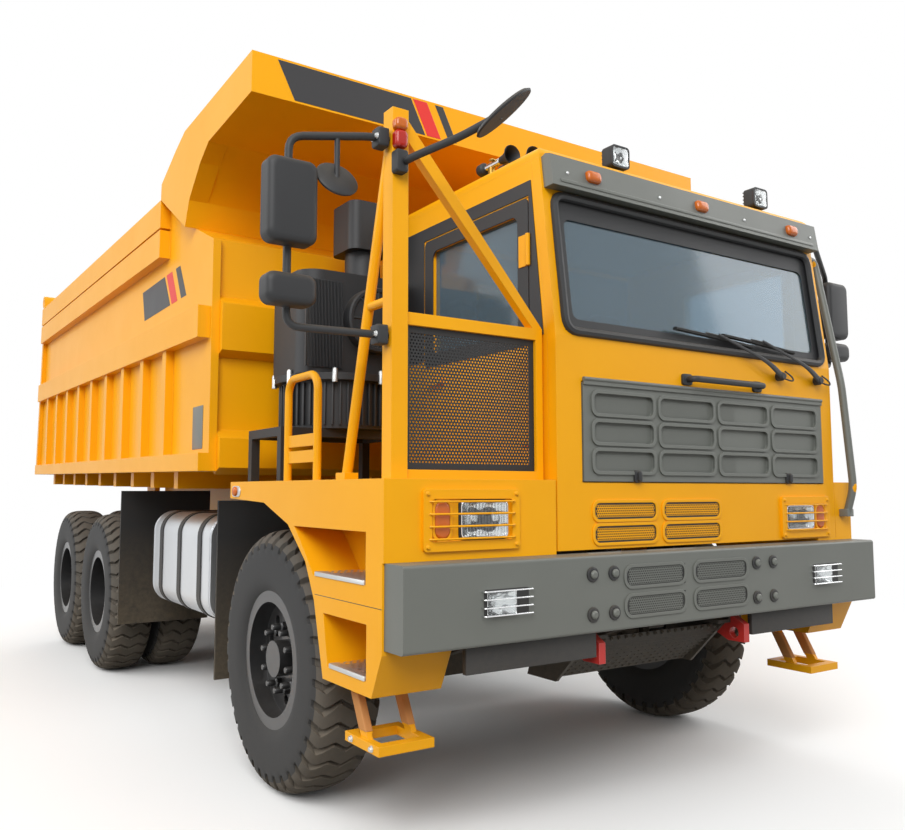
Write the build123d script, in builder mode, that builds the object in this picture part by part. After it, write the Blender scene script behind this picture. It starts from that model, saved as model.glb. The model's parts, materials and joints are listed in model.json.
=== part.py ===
"""Wide-body mining dump truck with a tipping bed, an offset cab and a right-hand service deck.

Millimetres. X points to the truck's left, Y to its rear and Z up. A station is a distance back
from the bumper's front face, and the origin lies on the ground at the middle of the overall length.
"""
from build123d import *
import math
import os

# Overall reach
mirror_ahead = 400          # front mirror's tip, ahead of the bumper's face
mirror_overhang = 480       # side mirrors' outer edges, out from the fenders

# Fits
running_gap = 0.3           # shafts in bores, and round faces that seat
panel_gap = 6               # round doors and lids
seat_gap = 0.3              # glass and lamps in their frames

# Wheels
tyre_radius = 685
tyre_width = 375
tread_width = 296
bead_radius = 330
bead_width = 280
bead_height = 42
rim_wall = 30
rim_flange = 18
rim_flange_height = 36
front_track = 2795
twin_track = 2555
twin_spacing = 430

# Axles and steering
front_overhang = 1510
wheelbase = 3800
bogie_spacing = 1500
kingpin_x = 1120
kingpin_radius = 35
boss_radius = 70
boss_height = 200
fork_thickness = 60
spindle_radius = 60
steer_arm = 320
tie_rod_height = 480
tie_rod_radius = 28
axle_tube_radius = 110
rear_spindle_radius = 70
spring_x = 580
spring_width = 90

# Frame
rail_outer_x = 500
rail_flange_width = 100
rail_bottom = 880
rail_height = 340
rail_web = 14
rail_flange = 18
rail_rear = 7780

# Bumper
bumper_half_width = 1630
bumper_depth = 150
bumper_bottom = 942
bumper_height = 347
bumper_wall = 14
hook_bore = 28
hook_ring = 65
hook_thickness = 40
hook_station = 130
hook_height = 830

# Cab
cab_right = -715
cab_left = 1475
cab_front = 140
cab_back_station = 1800
cab_skirt = 1303
cab_floor_top = 1630
cab_floor_thickness = 60
cab_sill = 2320
cab_header = 3060
cab_roof_bottom = 3220
cab_roof_top = 3280
cab_wall = 60
screen_lean = 90            # how far the screen's top lies behind its foot
door_front = 330
door_rear = 1290
door_foot = 1650
door_head = 3040
glass_thickness = 8

# Right deck and fenders
fender_outer_x = 1640
deck_top = 1632
deck_thickness = 32
deck_clearance = 260        # from the deck's rear edge to the bed
tower_depth = 340
tower_foot = 740
pocket_depth = 250

# Bed
bed_half_width = 1764
bed_side_depth = 124
bed_wall_thickness = 50
bed_front = 2200
bed_bottom_front = 1700
bed_bottom_rear = 1777
bed_rear_bottom = 8500
bed_rear_top = 8340
bed_top_rear = 3769
bed_top_front = 3640
bed_floor_thickness = 50
rib_first = 3030
rib_pitch = 600
rib_count = 9
rib_width = 90
sill_x = 430
sill_width = 110
cross_depth = 120
gate_thickness = 80
gate_rib_depth = 74

# Bed hinge and hoist
hinge_station = 7650
hinge_height = 1330
hinge_radius = 60
hoist_x = 250
hoist_foot_station = 4550
hoist_foot_height = 960
hoist_head_station = 6100
hoist_head_height = 1490
barrel_radius = 105
hoist_rod_radius = 65

tail_station = bed_rear_bottom + panel_gap + gate_thickness + gate_rib_depth
middle_station = (tail_station - mirror_ahead) / 2
front_axle = front_overhang
rear_axles_at = [front_overhang + wheelbase, front_overhang + wheelbase + bogie_spacing]
rail_top = rail_bottom + rail_height
bumper_top = bumper_bottom + bumper_height
cab_middle = (cab_left + cab_right) / 2
kingpin_height = tyre_radius
bed_wall_inner = bed_half_width - bed_side_depth
deck_rear = bed_front - deck_clearance
mirror_reach = fender_outer_x + mirror_overhang
bed_slope = (bed_bottom_rear - bed_bottom_front) / (bed_rear_bottom - bed_front)

os.makedirs("parts", exist_ok=True)


def at(station):
    """Turn a station into a Y coordinate."""
    return station - middle_station


def bed_bottom(station):
    """Height of the bed side's lower edge at a station."""
    return bed_bottom_front + bed_slope * (station - bed_front)


def block(x, station, height, mode=Mode.ADD):
    """Add a box given by its (low, high) reach across, along and up."""
    centre = (sum(x) / 2, at(sum(station) / 2), sum(height) / 2)
    with Locations(centre):
        Box(x[1] - x[0], station[1] - station[0], height[1] - height[0], mode=mode)


def rounded_block(x, station, height, radius):
    """Add a box with rounded upright edges."""
    with BuildSketch(Plane.XY.offset(height[0])) as outline:
        with Locations((sum(x) / 2, at(sum(station) / 2))):
            RectangleRounded(x[1] - x[0], station[1] - station[0], radius)
    extrude(outline.sketch, amount=height[1] - height[0])


def side_profile(points, x, mode=Mode.ADD):
    """Extrude an outline of (station, height) points across from x[0] to x[1]."""
    with BuildSketch(Plane.YZ.offset(x[0])) as outline:
        with BuildLine():
            Polyline(*[(at(station), height) for station, height in points], close=True)
        make_face()
    extrude(outline.sketch, amount=x[1] - x[0], mode=mode)


def front_profile(points, station, mode=Mode.ADD):
    """Extrude an outline of (x, height) points along from station[0] to station[1]."""
    with BuildSketch(Plane.XZ.offset(-at(station[1]))) as outline:
        with BuildLine():
            Polyline(*points, close=True)
        make_face()
    extrude(outline.sketch, amount=station[1] - station[0], mode=mode)


def cross_bar(radius, x, station, height, mode=Mode.ADD):
    """Add a round bar that lies across the truck."""
    with Locations(Plane((sum(x) / 2, at(station), height), x_dir=(0, 1, 0), z_dir=(1, 0, 0))):
        Cylinder(radius, x[1] - x[0], mode=mode)


def post(radius, x, station, height, mode=Mode.ADD):
    """Add an upright round bar."""
    with Locations((x, at(station), sum(height) / 2)):
        Cylinder(radius, height[1] - height[0], mode=mode)


def pipe(points, radius, bend=0):
    """Sweep a round section along (x, station, height) points with rounded bends."""
    places = [(x, at(station), height) for x, station, height in points]
    with BuildLine() as path:
        if bend:
            FilletPolyline(*places, radius=bend)
        else:
            Polyline(*places)
    with BuildSketch(Plane(origin=path.line @ 0, z_dir=path.line % 0)) as section:
        Circle(radius)
    sweep(section.sketch, path=path.line)


def wheel_plane(x, station, outward):
    """Plane whose x runs outward along a wheel's axle and whose y is the wheel's radius."""
    return Plane((x, at(station), tyre_radius), x_dir=(outward, 0, 0), z_dir=(0, -outward, 0))


def spun(points, plane):
    """Revolve an outline of (along the axle, radius) points about the wheel's axle."""
    with BuildSketch(plane) as outline:
        with BuildLine():
            Polyline(*points, close=True)
        make_face()
    revolve(outline.sketch, axis=Axis(plane.origin, plane.x_dir))


def save(builder, name):
    """Label a finished piece and write it."""
    builder.part.label = name
    export_step(builder.part, f"parts/{name}.step")


def tyre_outline(centre):
    """Half section of a tyre about its own middle plane."""
    half = [
        (bead_width / 2, bead_radius),
        (bead_width / 2, bead_radius + bead_height),
        (tyre_width / 2, bead_radius + 140),
        (tyre_width / 2 - 6, tyre_radius - 75),
        (tread_width / 2, tyre_radius),
    ]
    other = [(-along, radius) for along, radius in reversed(half)]
    return [(centre + along, radius) for along, radius in half + other]


# Frame rails: two channels that open inwards
with BuildPart() as frame_rails:
    channel = [
        (rail_outer_x - rail_flange_width, rail_bottom),
        (rail_outer_x, rail_bottom),
        (rail_outer_x, rail_top),
        (rail_outer_x - rail_flange_width, rail_top),
        (rail_outer_x - rail_flange_width, rail_top - rail_flange),
        (rail_outer_x - rail_web, rail_top - rail_flange),
        (rail_outer_x - rail_web, rail_bottom + rail_flange),
        (rail_outer_x - rail_flange_width, rail_bottom + rail_flange),
    ]
    front_profile(channel, (bumper_depth, rail_rear))
    mirror(about=Plane.YZ)
save(frame_rails, "frame_rails")

# Cross members between the rails, with the hoist shaft and the bed's hinge shaft
web_inner = rail_outer_x - rail_web
flange_inner = rail_outer_x - rail_flange_width
hinge_ear_x = 440
hinge_ear_half = 30
with BuildPart() as crossmembers:
    for station in (330, 3240, 3900, 6900):
        block((-web_inner, web_inner), (station - 60, station + 60), (rail_bottom + 120, rail_bottom + 240))
    cross_bar(hinge_radius, (-web_inner, web_inner), hoist_foot_station, hoist_foot_height)
    ear = [
        (hinge_station - 260, rail_top),
        (rail_rear - 10, rail_top),
        (hinge_station + 90, hinge_height + 40),
        (hinge_station - 90, hinge_height + 90),
    ]
    for side in (-1, 1):
        reach = sorted((side * (hinge_ear_x - hinge_ear_half), side * (hinge_ear_x + hinge_ear_half)))
        side_profile(ear, reach)
    hinge_shaft_half = 620
    cross_bar(hinge_radius, (-hinge_shaft_half, hinge_shaft_half), hinge_station, hinge_height)
save(crossmembers, "crossmembers")

# Front axle: a dropped beam with a boss and a kingpin at each end
axle_half_depth = 65
with BuildPart() as front_axle_beam:
    drop = 150
    beam = [
        (-kingpin_x, kingpin_height - 70),
        (-kingpin_x + 160, kingpin_height - 70),
        (-760, kingpin_height - 70 - drop + 20),
        (760, kingpin_height - 70 - drop + 20),
        (kingpin_x - 160, kingpin_height - 70),
        (kingpin_x, kingpin_height - 70),
        (kingpin_x, kingpin_height + 60),
        (kingpin_x - 200, kingpin_height + 60),
        (720, kingpin_height - 45),
        (-720, kingpin_height - 45),
        (-kingpin_x + 200, kingpin_height + 60),
        (-kingpin_x, kingpin_height + 60),
    ]
    front_profile(beam, (front_axle - axle_half_depth, front_axle + axle_half_depth))
    boss = (kingpin_height - boss_height / 2, kingpin_height + boss_height / 2)
    for side in (-1, 1):
        post(boss_radius, side * kingpin_x, front_axle, boss)
        post(kingpin_radius, side * kingpin_x, front_axle, (boss[0] - fork_thickness, boss[1] + fork_thickness))
save(front_axle_beam, "front_axle")

# Leaf springs: two at the front axle, and the bogie's pair on their trunnion
spring_seat = kingpin_height - 45
with BuildPart() as springs:
    front_leaf = [
        (front_axle - 720, 800), (front_axle - 240, spring_seat), (front_axle + 240, spring_seat),
        (front_axle + 720, 800), (front_axle + 720, 836), (front_axle + 560, 806),
        (front_axle + 120, spring_seat + 120), (front_axle - 120, spring_seat + 120),
        (front_axle - 560, 806), (front_axle - 720, 836),
    ]
    side_profile(front_leaf, (spring_x - spring_width / 2, spring_x + spring_width / 2))
    for station in (front_axle - 720, front_axle + 720):
        block((rail_outer_x, spring_x + spring_width / 2), (station - 55, station + 55), (770, 1010))
    bogie = sum(rear_axles_at) / 2
    half = bogie_spacing / 2
    pad = tyre_radius + axle_tube_radius
    rear_leaf = [
        (bogie - half - 120, pad), (bogie - half + 120, pad), (bogie - 200, pad + 60),
        (bogie + 200, pad + 60), (bogie + half - 120, pad), (bogie + half + 120, pad),
        (bogie + half + 120, pad + 50), (bogie + 260, pad + 210), (bogie - 260, pad + 210),
        (bogie - half - 120, pad + 50),
    ]
    side_profile(rear_leaf, (spring_x - spring_width / 2, spring_x + spring_width / 2))
    block((spring_x - 70, spring_x + 70), (bogie - 110, bogie + 110), (pad - 110, pad + 62))
    block((rail_outer_x - rail_flange_width, spring_x - 60), (bogie - 150, bogie + 150), (700, rail_bottom))
    mirror(about=Plane.YZ)
    cross_bar(65, (-spring_x - 70, spring_x + 70), bogie, pad + 17)
save(springs, "springs")

# Rear axles: a tube with a spindle at each end and a rounded middle housing
rear_tube_end = twin_track / 2 - 145
pinion_nose = 310
with BuildPart() as rear_axles:
    for station in rear_axles_at:
        spindle_end = twin_track / 2 + 180
        cross_bar(rear_spindle_radius, (-spindle_end, spindle_end), station, tyre_radius)
        cross_bar(axle_tube_radius, (-rear_tube_end, rear_tube_end), station, tyre_radius)
        with Locations((0, at(station), tyre_radius)):
            Sphere(235)
        nose_rear = pinion_nose if station == rear_axles_at[0] else 0
        with Locations(Plane((0, at(station - pinion_nose), tyre_radius), z_dir=(0, 1, 0))):
            Cylinder(90, pinion_nose + nose_rear, align=(Align.CENTER, Align.CENTER, Align.MIN))
save(rear_axles, "rear_axles")

# Engine and gearbox as one plain mass between the rails
engine_half_width = 340
engine_reach = (1080, 2360)
gearbox_reach = (2360, 3080)
gearbox_bottom = 800
with BuildPart() as engine:
    block((-engine_half_width, engine_half_width), engine_reach, (700, cab_floor_top - cab_floor_thickness - 30))
    block((-220, 220), gearbox_reach, (gearbox_bottom, 1250))
    for side in (-1, 1):
        reach = sorted((side * engine_half_width, side * flange_inner))
        block(reach, (1900, 2050), (rail_top - 160, rail_top - 20))
        web_reach = sorted((side * (flange_inner - 20), side * web_inner))
        block(web_reach, (1900, 2050), (rail_top - 140, rail_top - 40))
save(engine, "engine")

# Propeller shafts from the gearbox through both rear axles, with a flange at each end
shaft_radius = 45
flange_radius = 75
flange_length = 50
gearbox_out = 950
with BuildPart() as driveline:
    spans = [
        ((gearbox_reach[1], gearbox_out), (rear_axles_at[0] - pinion_nose, tyre_radius)),
        ((rear_axles_at[0] + pinion_nose, tyre_radius), (rear_axles_at[1] - pinion_nose, tyre_radius)),
    ]
    for (front, front_height), (rear, rear_height) in spans:
        pipe([(0, front, front_height), (0, front + flange_length, front_height)], flange_radius)
        pipe([(0, front + flange_length / 2, front_height), (0, rear - flange_length / 2, rear_height)], shaft_radius)
        pipe([(0, rear - flange_length, rear_height), (0, rear, rear_height)], flange_radius)
save(driveline, "driveline")

# Bumper: a folded box, open behind, with four slots in its face
slot_x = (-330, -20, 40, 350)
with BuildPart() as bumper:
    block((-bumper_half_width, bumper_half_width), (0, bumper_depth), (bumper_bottom, bumper_top))
    fillet(bumper.edges().filter_by(Axis.X).group_by(Axis.Y)[0], 14)
    for reach in ((-1590, -560), (-420, 420), (560, 1590)):
        block(reach, (bumper_wall + 16, bumper_depth), (bumper_bottom + bumper_wall, bumper_top - bumper_wall),
              mode=Mode.SUBTRACT)
    for left, right in ((slot_x[0], slot_x[1]), (slot_x[2], slot_x[3])):
        for low in (bumper_bottom + 60, bumper_bottom + 190):
            block((left + 20, right), (-1, bumper_wall), (low, low + 95), mode=Mode.SUBTRACT)
save(bumper, "bumper")

# Slatted guard under the bumper with its side plates
guard_slats = 9
with BuildPart() as underguard:
    for side in (-1, 1):
        reach = sorted((side * 480, side * 500))
        side_profile([(180, rail_bottom), (560, rail_bottom), (640, 640), (420, 640)], reach)
    for index in range(guard_slats):
        share = index / (guard_slats - 1)
        station = 225 + share * 230
        height = 830 - share * 180
        block((-480, 480), (station, station + 14), (height, height + 40))
save(underguard, "underguard")

# Tow hooks on the rails' outer faces, their noses below the bumper
with BuildPart() as tow_hooks:
    nose = hook_station - hook_ring
    sole = hook_height - hook_ring + 20
    hook = [
        (bumper_depth + 5, bumper_bottom + 50), (bumper_depth + 5, bumper_bottom - 12), (nose, rail_bottom),
        (nose, sole), (hook_station + 40, sole), (420, rail_bottom + 20), (420, bumper_bottom + 50),
    ]
    side_profile(hook, (rail_outer_x, rail_outer_x + hook_thickness))
    cross_bar(hook_bore, (rail_outer_x - 1, rail_outer_x + hook_thickness + 1), hook_station, hook_height,
              mode=Mode.SUBTRACT)
    mirror(about=Plane.YZ)
save(tow_hooks, "tow_hooks")

# Cab floor and its skirt
with BuildPart() as cab_floor:
    block((cab_right, cab_left), (cab_front + cab_wall, cab_back_station),
          (cab_floor_top - cab_floor_thickness, cab_floor_top))
    for side in (-1, 1):
        reach = sorted((side * (rail_outer_x - 90), side * rail_outer_x))
        for station in (800, 1640):
            block(reach, (station - 60, station + 60), (rail_top, cab_floor_top - cab_floor_thickness))
save(cab_floor, "cab_floor")

# Cab front: skirt, grille recess, screen frame and header in one pressing
screen_foot = cab_sill + 25
screen_head = cab_header - 25
screen_side = 65
screen_slope = screen_lean / (cab_header - cab_sill)
hatch_x = (-552, 1364)
hatch_z = (1626, 2102)
hatch_depth = 30
hatch_hinge_radius = 10


def front_face(height):
    """Station of the cab's front face at a height."""
    return cab_front + max(0, height - cab_sill) * screen_slope


with BuildPart() as cab_front_panel:
    face = [
        (front_face(cab_skirt), cab_skirt), (front_face(cab_sill), cab_sill),
        (front_face(cab_roof_bottom), cab_roof_bottom),
    ]
    back = [(station + cab_wall, height) for station, height in reversed(face)]
    side_profile(face + back, (cab_right, cab_left))
    block((cab_right + screen_side, cab_left - screen_side), (cab_front - 50, cab_front + 300),
          (screen_foot, screen_head), mode=Mode.SUBTRACT)
    block((hatch_x[0] - panel_gap, hatch_x[1] + panel_gap), (cab_front - 10, cab_front + hatch_depth + 4),
          (hatch_z[0] - panel_gap, hatch_z[1] + panel_gap), mode=Mode.SUBTRACT)
save(cab_front_panel, "cab_front")

# Cab sides with the door openings
side_top = cab_roof_bottom
side_face = [
    (cab_front + cab_wall, cab_floor_top), (front_face(cab_sill) + cab_wall, cab_sill),
    (front_face(side_top) + cab_wall, side_top), (cab_back_station - cab_wall, side_top),
    (cab_back_station - cab_wall, cab_floor_top),
]
with BuildPart() as cab_sides:
    for outer, inner in ((cab_left, cab_left - cab_wall), (cab_right, cab_right + cab_wall)):
        reach = sorted((outer, inner))
        side_profile(side_face, reach)
        block((reach[0] - 1, reach[1] + 1), (door_front, door_rear), (door_foot, door_head), mode=Mode.SUBTRACT)
save(cab_sides, "cab_sides")

# Cab back wall with its window
back_window_x = (0, 760)
back_window_z = (2400, 2960)
with BuildPart() as cab_back:
    block((cab_right, cab_left), (cab_back_station - cab_wall, cab_back_station), (cab_floor_top, cab_roof_bottom))
    block(back_window_x, (cab_back_station - 200, cab_back_station + 200), back_window_z, mode=Mode.SUBTRACT)
save(cab_back, "cab_back")

# Cab roof with rounded edges
with BuildPart() as cab_roof:
    block((cab_right, cab_left), (front_face(cab_roof_bottom), cab_back_station), (cab_roof_bottom, cab_roof_top))
    fillet(cab_roof.faces().sort_by(Axis.Z)[-1].edges(), 40)
save(cab_roof, "cab_roof")

# Windscreen and back window
with BuildPart() as cab_glass:
    foot = screen_foot + seat_gap
    head = screen_head - seat_gap
    pane = [(front_face(foot) + 18, foot), (front_face(head) + 18, head)]
    pane += [(station + glass_thickness, height) for station, height in reversed(pane)]
    side_profile(pane, (cab_right + screen_side + seat_gap, cab_left - screen_side - seat_gap))
    block((back_window_x[0] + seat_gap, back_window_x[1] - seat_gap),
          (cab_back_station - 36, cab_back_station - 36 + glass_thickness),
          (back_window_z[0] + seat_gap, back_window_z[1] - seat_gap))
save(cab_glass, "cab_glass")

# Sun visor along the header
visor_x = (-700, 1450)
visor_depth = 70
visor_lean = 25


def visor_face(height):
    """Station of the visor's front face at a height."""
    lean = visor_lean * (height - cab_header) / (cab_roof_bottom - cab_header)
    return front_face(cab_header) - visor_depth + lean


with BuildPart() as visor:
    outline = [
        (visor_face(cab_header), cab_header), (front_face(cab_header), cab_header),
        (front_face(cab_roof_bottom), cab_roof_bottom), (front_face(cab_roof_bottom) - 30, cab_roof_bottom + 10),
        (visor_face(cab_roof_bottom), cab_roof_bottom),
    ]
    side_profile(outline, visor_x)
save(visor, "visor")

# Fenders: deck, lamp panel and a step tower with two pockets
tower_outline = [
    (cab_front, deck_top - deck_thickness), (cab_front, bumper_top), (bumper_depth, bumper_top),
    (bumper_depth, bumper_bottom - 20), (235, tower_foot), (688, tower_foot), (791, 1078), (894, 1249), (1106, 1416),
    (1427, 1519), (deck_rear, 1538), (deck_rear, deck_top - deck_thickness),
]
upper_pocket = [(290, 1190), (800, 1190), (940, 1330), (1030, 1410), (290, 1410)]
lower_pocket = [(280, 800), (640, 800), (690, 1030), (280, 1030)]


def add_tower(side):
    """Add the step tower under a fender, pockets cut from its outer face."""
    outer = side * fender_outer_x
    reach = sorted((outer, outer - side * tower_depth))
    side_profile(tower_outline, reach)
    pocket = sorted((outer + side * 1, outer - side * pocket_depth))
    side_profile(upper_pocket, pocket, mode=Mode.SUBTRACT)
    side_profile(lower_pocket, pocket, mode=Mode.SUBTRACT)


lamp_panel_thickness = 24
with BuildPart() as fender_right:
    add_tower(-1)
    block((-fender_outer_x, cab_right - 10), (cab_front, deck_rear), (deck_top - deck_thickness, deck_top))
    block((-fender_outer_x, cab_right - 10), (cab_front, cab_front + lamp_panel_thickness), (bumper_top, deck_top))
save(fender_right, "fender_right")

with BuildPart() as fender_left:
    add_tower(1)
    block((cab_right, cab_left + 4), (0, cab_back_station), (cab_floor_top - cab_floor_thickness, 2 * deck_top),
          mode=Mode.SUBTRACT)
    block((cab_right, cab_left + 4), (0, cab_front + cab_wall), (cab_skirt, 2 * deck_top), mode=Mode.SUBTRACT)
    block((cab_left + 4, fender_outer_x), (cab_front, deck_rear), (deck_top - deck_thickness, deck_top))
save(fender_left, "fender_left")

# Hanging steps: a tread frame on two straps below each tower
step_tread_x = (1330, 1600)
with BuildPart() as hanging_steps:
    for x in (step_tread_x[0] + 15, step_tread_x[1] - 45):
        side_profile([(470, tower_foot), (530, tower_foot), (420, 540), (360, 540)], (x, x + 30))
    block(step_tread_x, (240, 540), (500, 540))
    block((step_tread_x[0] + 40, step_tread_x[1] - 40), (290, 490), (490, 560), mode=Mode.SUBTRACT)
    mirror(about=Plane.YZ)
save(hanging_steps, "hanging_steps")

# Guard frame on the right deck: post, rail, mesh border and braces
post_width = 80
post_x = -1572
post_front = 200
post_top = 3240
rail_z = (2295, 2350)
border = 40
guard_inner_x = cab_right - 20
mesh_x = (post_x + post_width, guard_inner_x - border)
mesh_z = (deck_top + border, rail_z[0])
guard_depth = 50
with BuildPart() as guard_frame:
    block((post_x, post_x + post_width), (post_front, post_front + post_width), (deck_top, post_top))
    block((post_x + post_width, guard_inner_x), (post_front + 15, post_front + 15 + guard_depth), rail_z)
    block((mesh_x[1], guard_inner_x), (post_front + 15, post_front + 15 + guard_depth), (deck_top, rail_z[0]))
    block((post_x + post_width, mesh_x[1]), (post_front + 15, post_front + 15 + guard_depth),
          (deck_top, deck_top + border))
    brace = [
        (post_x + post_width - 5, 3215), (post_x + post_width - 5, 3120),
        (guard_inner_x - 60, rail_z[1]), (guard_inner_x, rail_z[1]),
    ]
    front_profile(brace, (post_front + 15, post_front + 60))
    brace_x = post_x + 20
    brace_foot = 640
    pipe([(brace_x, post_front + post_width - 10, 3040), (brace_x, brace_foot, deck_top + 20)], 24)
    block((brace_x - 35, brace_x + 35), (brace_foot - 45, brace_foot + 45), (deck_top, deck_top + 32))
    pipe([(brace_x, post_front + post_width - 10, 2400), (brace_x, 420, 2400)], 20)
save(guard_frame, "guard_frame")

# Mesh panel in the guard frame
mesh_columns = 10
mesh_rows = 9
mesh_thickness = 6
with BuildPart() as guard_mesh:
    pitch_x = (mesh_x[1] - mesh_x[0]) / mesh_columns
    pitch_z = (mesh_z[1] - mesh_z[0]) / mesh_rows
    bar = 22
    middle = ((mesh_x[0] + mesh_x[1]) / 2, (mesh_z[0] + mesh_z[1]) / 2)
    with BuildSketch(Plane.XZ.offset(-at(post_front + 40))) as panel:
        with Locations(middle):
            Rectangle(mesh_x[1] - mesh_x[0], mesh_z[1] - mesh_z[0])
        with Locations(middle):
            with GridLocations(pitch_x, pitch_z, mesh_columns, mesh_rows):
                Rectangle(pitch_x - bar, pitch_z - bar, mode=Mode.SUBTRACT)
    extrude(amount=mesh_thickness)
save(guard_mesh, "guard_mesh")

# Handrails: the deck's hoop with its plates, and the pipe at the cab's left corner
hoop_x = -1600
hoop_reach = (860, 1210)
rail_tube = 20
with BuildPart() as handrails:
    pipe([(hoop_x, hoop_reach[0], deck_top), (hoop_x, hoop_reach[0], 2150), (hoop_x, hoop_reach[1], 2150),
          (hoop_x, hoop_reach[1], deck_top)], rail_tube, 80)
    for low in (1720, 1800):
        block((hoop_x - 6, hoop_x + 6), hoop_reach, (low, low + 60))
    pipe([(cab_left, 260, 3030), (1550, 260, 3030), (1550, 110, 2230), (1550, 60, 1600), (1550, 105, 1450)],
         rail_tube, 60)
    block((1520, 1580), (85, cab_front), (1430, 1470))
save(handrails, "handrails")

# Mirrors: arms, tall and small glasses each side, a round one and the front look-down disc
arm_radius = 17
arm_inset = 120
right_arm_x = -mirror_reach + arm_inset
left_arm_x = mirror_reach - arm_inset
mirror_station = 320
round_station = 274
left_arm_station = 470
mirror_width = 222
disc_radius = 187
disc_thickness = 30
disc_normal = Vector(-0.6, 0.25, 0.76).normalized()
with BuildPart() as mirrors:
    outer = -mirror_reach
    arm_root = post_front + post_width / 2
    pipe([(post_x, arm_root, 3100), (post_x - 80, arm_root, 3100), (right_arm_x, mirror_station, 3050),
          (right_arm_x, mirror_station, 2250), (post_x - 80, arm_root, 2240), (post_x, arm_root, 2240)], arm_radius, 40)
    for low, high in ((2578, 2930), (2325, 2455)):
        block((outer, outer + mirror_width), (mirror_station - 90, mirror_station - 10), (low, high))
    with Locations(Location((-1800, at(round_station), 2890), (60, 0, 0))):
        Cylinder(95, 24)
    pipe([(-1800, round_station, 2890), (-1800, round_station, 3078)], 12)
    pipe([(post_x + 40, post_front, 2990), (post_x + 40, post_front - 90, 2990), (-1400, -60, 3050),
          (-1330, -200, 3105)], arm_radius, 40)
    disc_reach = disc_radius * math.sqrt(1 - disc_normal.Y**2) + disc_thickness / 2 * disc_normal.Y
    with Locations(Plane((-1330, at(disc_reach - mirror_ahead), 3110), z_dir=disc_normal)):
        Cylinder(disc_radius, disc_thickness)
    pipe([(cab_left, 270, 3140), (cab_left + 100, 270, 3140), (left_arm_x, left_arm_station, 3020),
          (left_arm_x, left_arm_station, 2420), (cab_left + 100, 270, 2400), (cab_left, 270, 2400)], arm_radius, 40)
    for low, high in ((2600, 2980), (2450, 2570)):
        block((mirror_reach - mirror_width, mirror_reach), (left_arm_station - 90, left_arm_station - 10), (low, high))
save(mirrors, "mirrors")

# Air cleaner: ribbed bowl, housing with a round cover, neck and intake cap
cleaner_x = -1085
cleaner_station = deck_rear - 240
stand_top = 1930
with BuildPart() as air_cleaner:
    post(320, cleaner_x, cleaner_station, (stand_top, 2200))
    post(365, cleaner_x, cleaner_station, (2200, 2240))
    rounded_block((-1420, -770), (1440, 1960), (2240, 2830), 120)
    with Locations(Plane((-985, at(1420), 2560), z_dir=(0, -1, 0))):
        Cylinder(190, 60)
    post(110, -890, 1750, (2830, 3040))
    rounded_block((-1040, -740), (1600, 1900), (3040, 3340), 60)
save(air_cleaner, "air_cleaner")

# Stand of angle posts and a top frame under the air cleaner
stand_x = (-1540, -760)
stand_length = 480
stand_reach = (deck_rear - 10 - stand_length, deck_rear - 10)
angle_width = 50
with BuildPart() as cleaner_stand:
    for x in (stand_x[0], stand_x[1] - angle_width):
        for station in (stand_reach[0], stand_reach[1] - angle_width):
            block((x, x + angle_width), (station, station + angle_width), (deck_top, stand_top))
    block(stand_x, stand_reach, (stand_top - angle_width, stand_top))
    block((stand_x[0] + angle_width, stand_x[1] - angle_width),
          (stand_reach[0] + angle_width, stand_reach[1] - angle_width),
          (stand_top - 100, stand_top - 8), mode=Mode.SUBTRACT)
save(cleaner_stand, "cleaner_stand")

# Fuel tank on the right and hydraulic tank on the left, on brackets from the rails
tank_x = (620, 1500)
tank_clearance = 565        # from the tanks' ends to the tyres beside them
tank_reach = (front_axle + tyre_radius + tank_clearance - 80, rear_axles_at[0] - tyre_radius - tank_clearance)
tank_bracket_inset = 270
tank_z = (720, 1420)
with BuildPart() as tanks:
    block(tank_x, tank_reach, tank_z)
    fillet(tanks.edges().filter_by(Axis.Y), 150)
    for station in (tank_reach[0] + tank_bracket_inset, tank_reach[1] - tank_bracket_inset):
        block((rail_outer_x, tank_x[0] + 60), (station - 50, station + 50), (980, 1180))
    mirror(about=Plane.YZ)
save(tanks, "tanks")

# Mud guards: a flap behind each front wheel and a plate ahead of each rear pair
flap_clearance = 185        # from the flaps and plates to the tyres beside them
flap_thickness = 16
flap_station = front_axle + tyre_radius + flap_clearance
plate_station = rear_axles_at[0] - tyre_radius - flap_clearance
with BuildPart() as mudguards:
    flap = [(rail_outer_x, 1000), (860, 1000), (860, 420), (1560, 420), (1560, 1520), (860, 1520), (860, 1140),
            (rail_outer_x, 1140)]
    front_profile(flap, (flap_station, flap_station + flap_thickness))
    plate = [(rail_outer_x, 1000), (930, 1000), (930, 500), (1670, 500), (1670, 1580), (930, 1580), (930, 1140),
             (rail_outer_x, 1140)]
    front_profile(plate, (plate_station, plate_station + flap_thickness))
    mirror(about=Plane.YZ)
save(mudguards, "mudguards")

# Cab interior: two seats, and the dashboard with its steering wheel
driver_x = 860
with BuildPart() as cab_interior:
    for x in (driver_x, -100):
        block((x - 240, x + 240), (900, 1380), (cab_floor_top, 2080))
        side_profile([(1290, 2080), (1380, 2080), (1490, 2800), (1400, 2800)], (x - 240, x + 240))
    side_profile([(cab_front + cab_wall, 1800), (420, 1800), (500, 2120), (460, 2250), (cab_front + cab_wall, 2300)],
                 (cab_right + cab_wall, cab_left - cab_wall))
    pipe([(driver_x, 440, 2150), (driver_x, 610, 2300)], 35)
    with Locations(Location((driver_x, at(610), 2300), (-48, 0, 0))):
        Torus(220, 18)
        Box(440, 40, 24)
save(cab_interior, "cab_interior")

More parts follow.
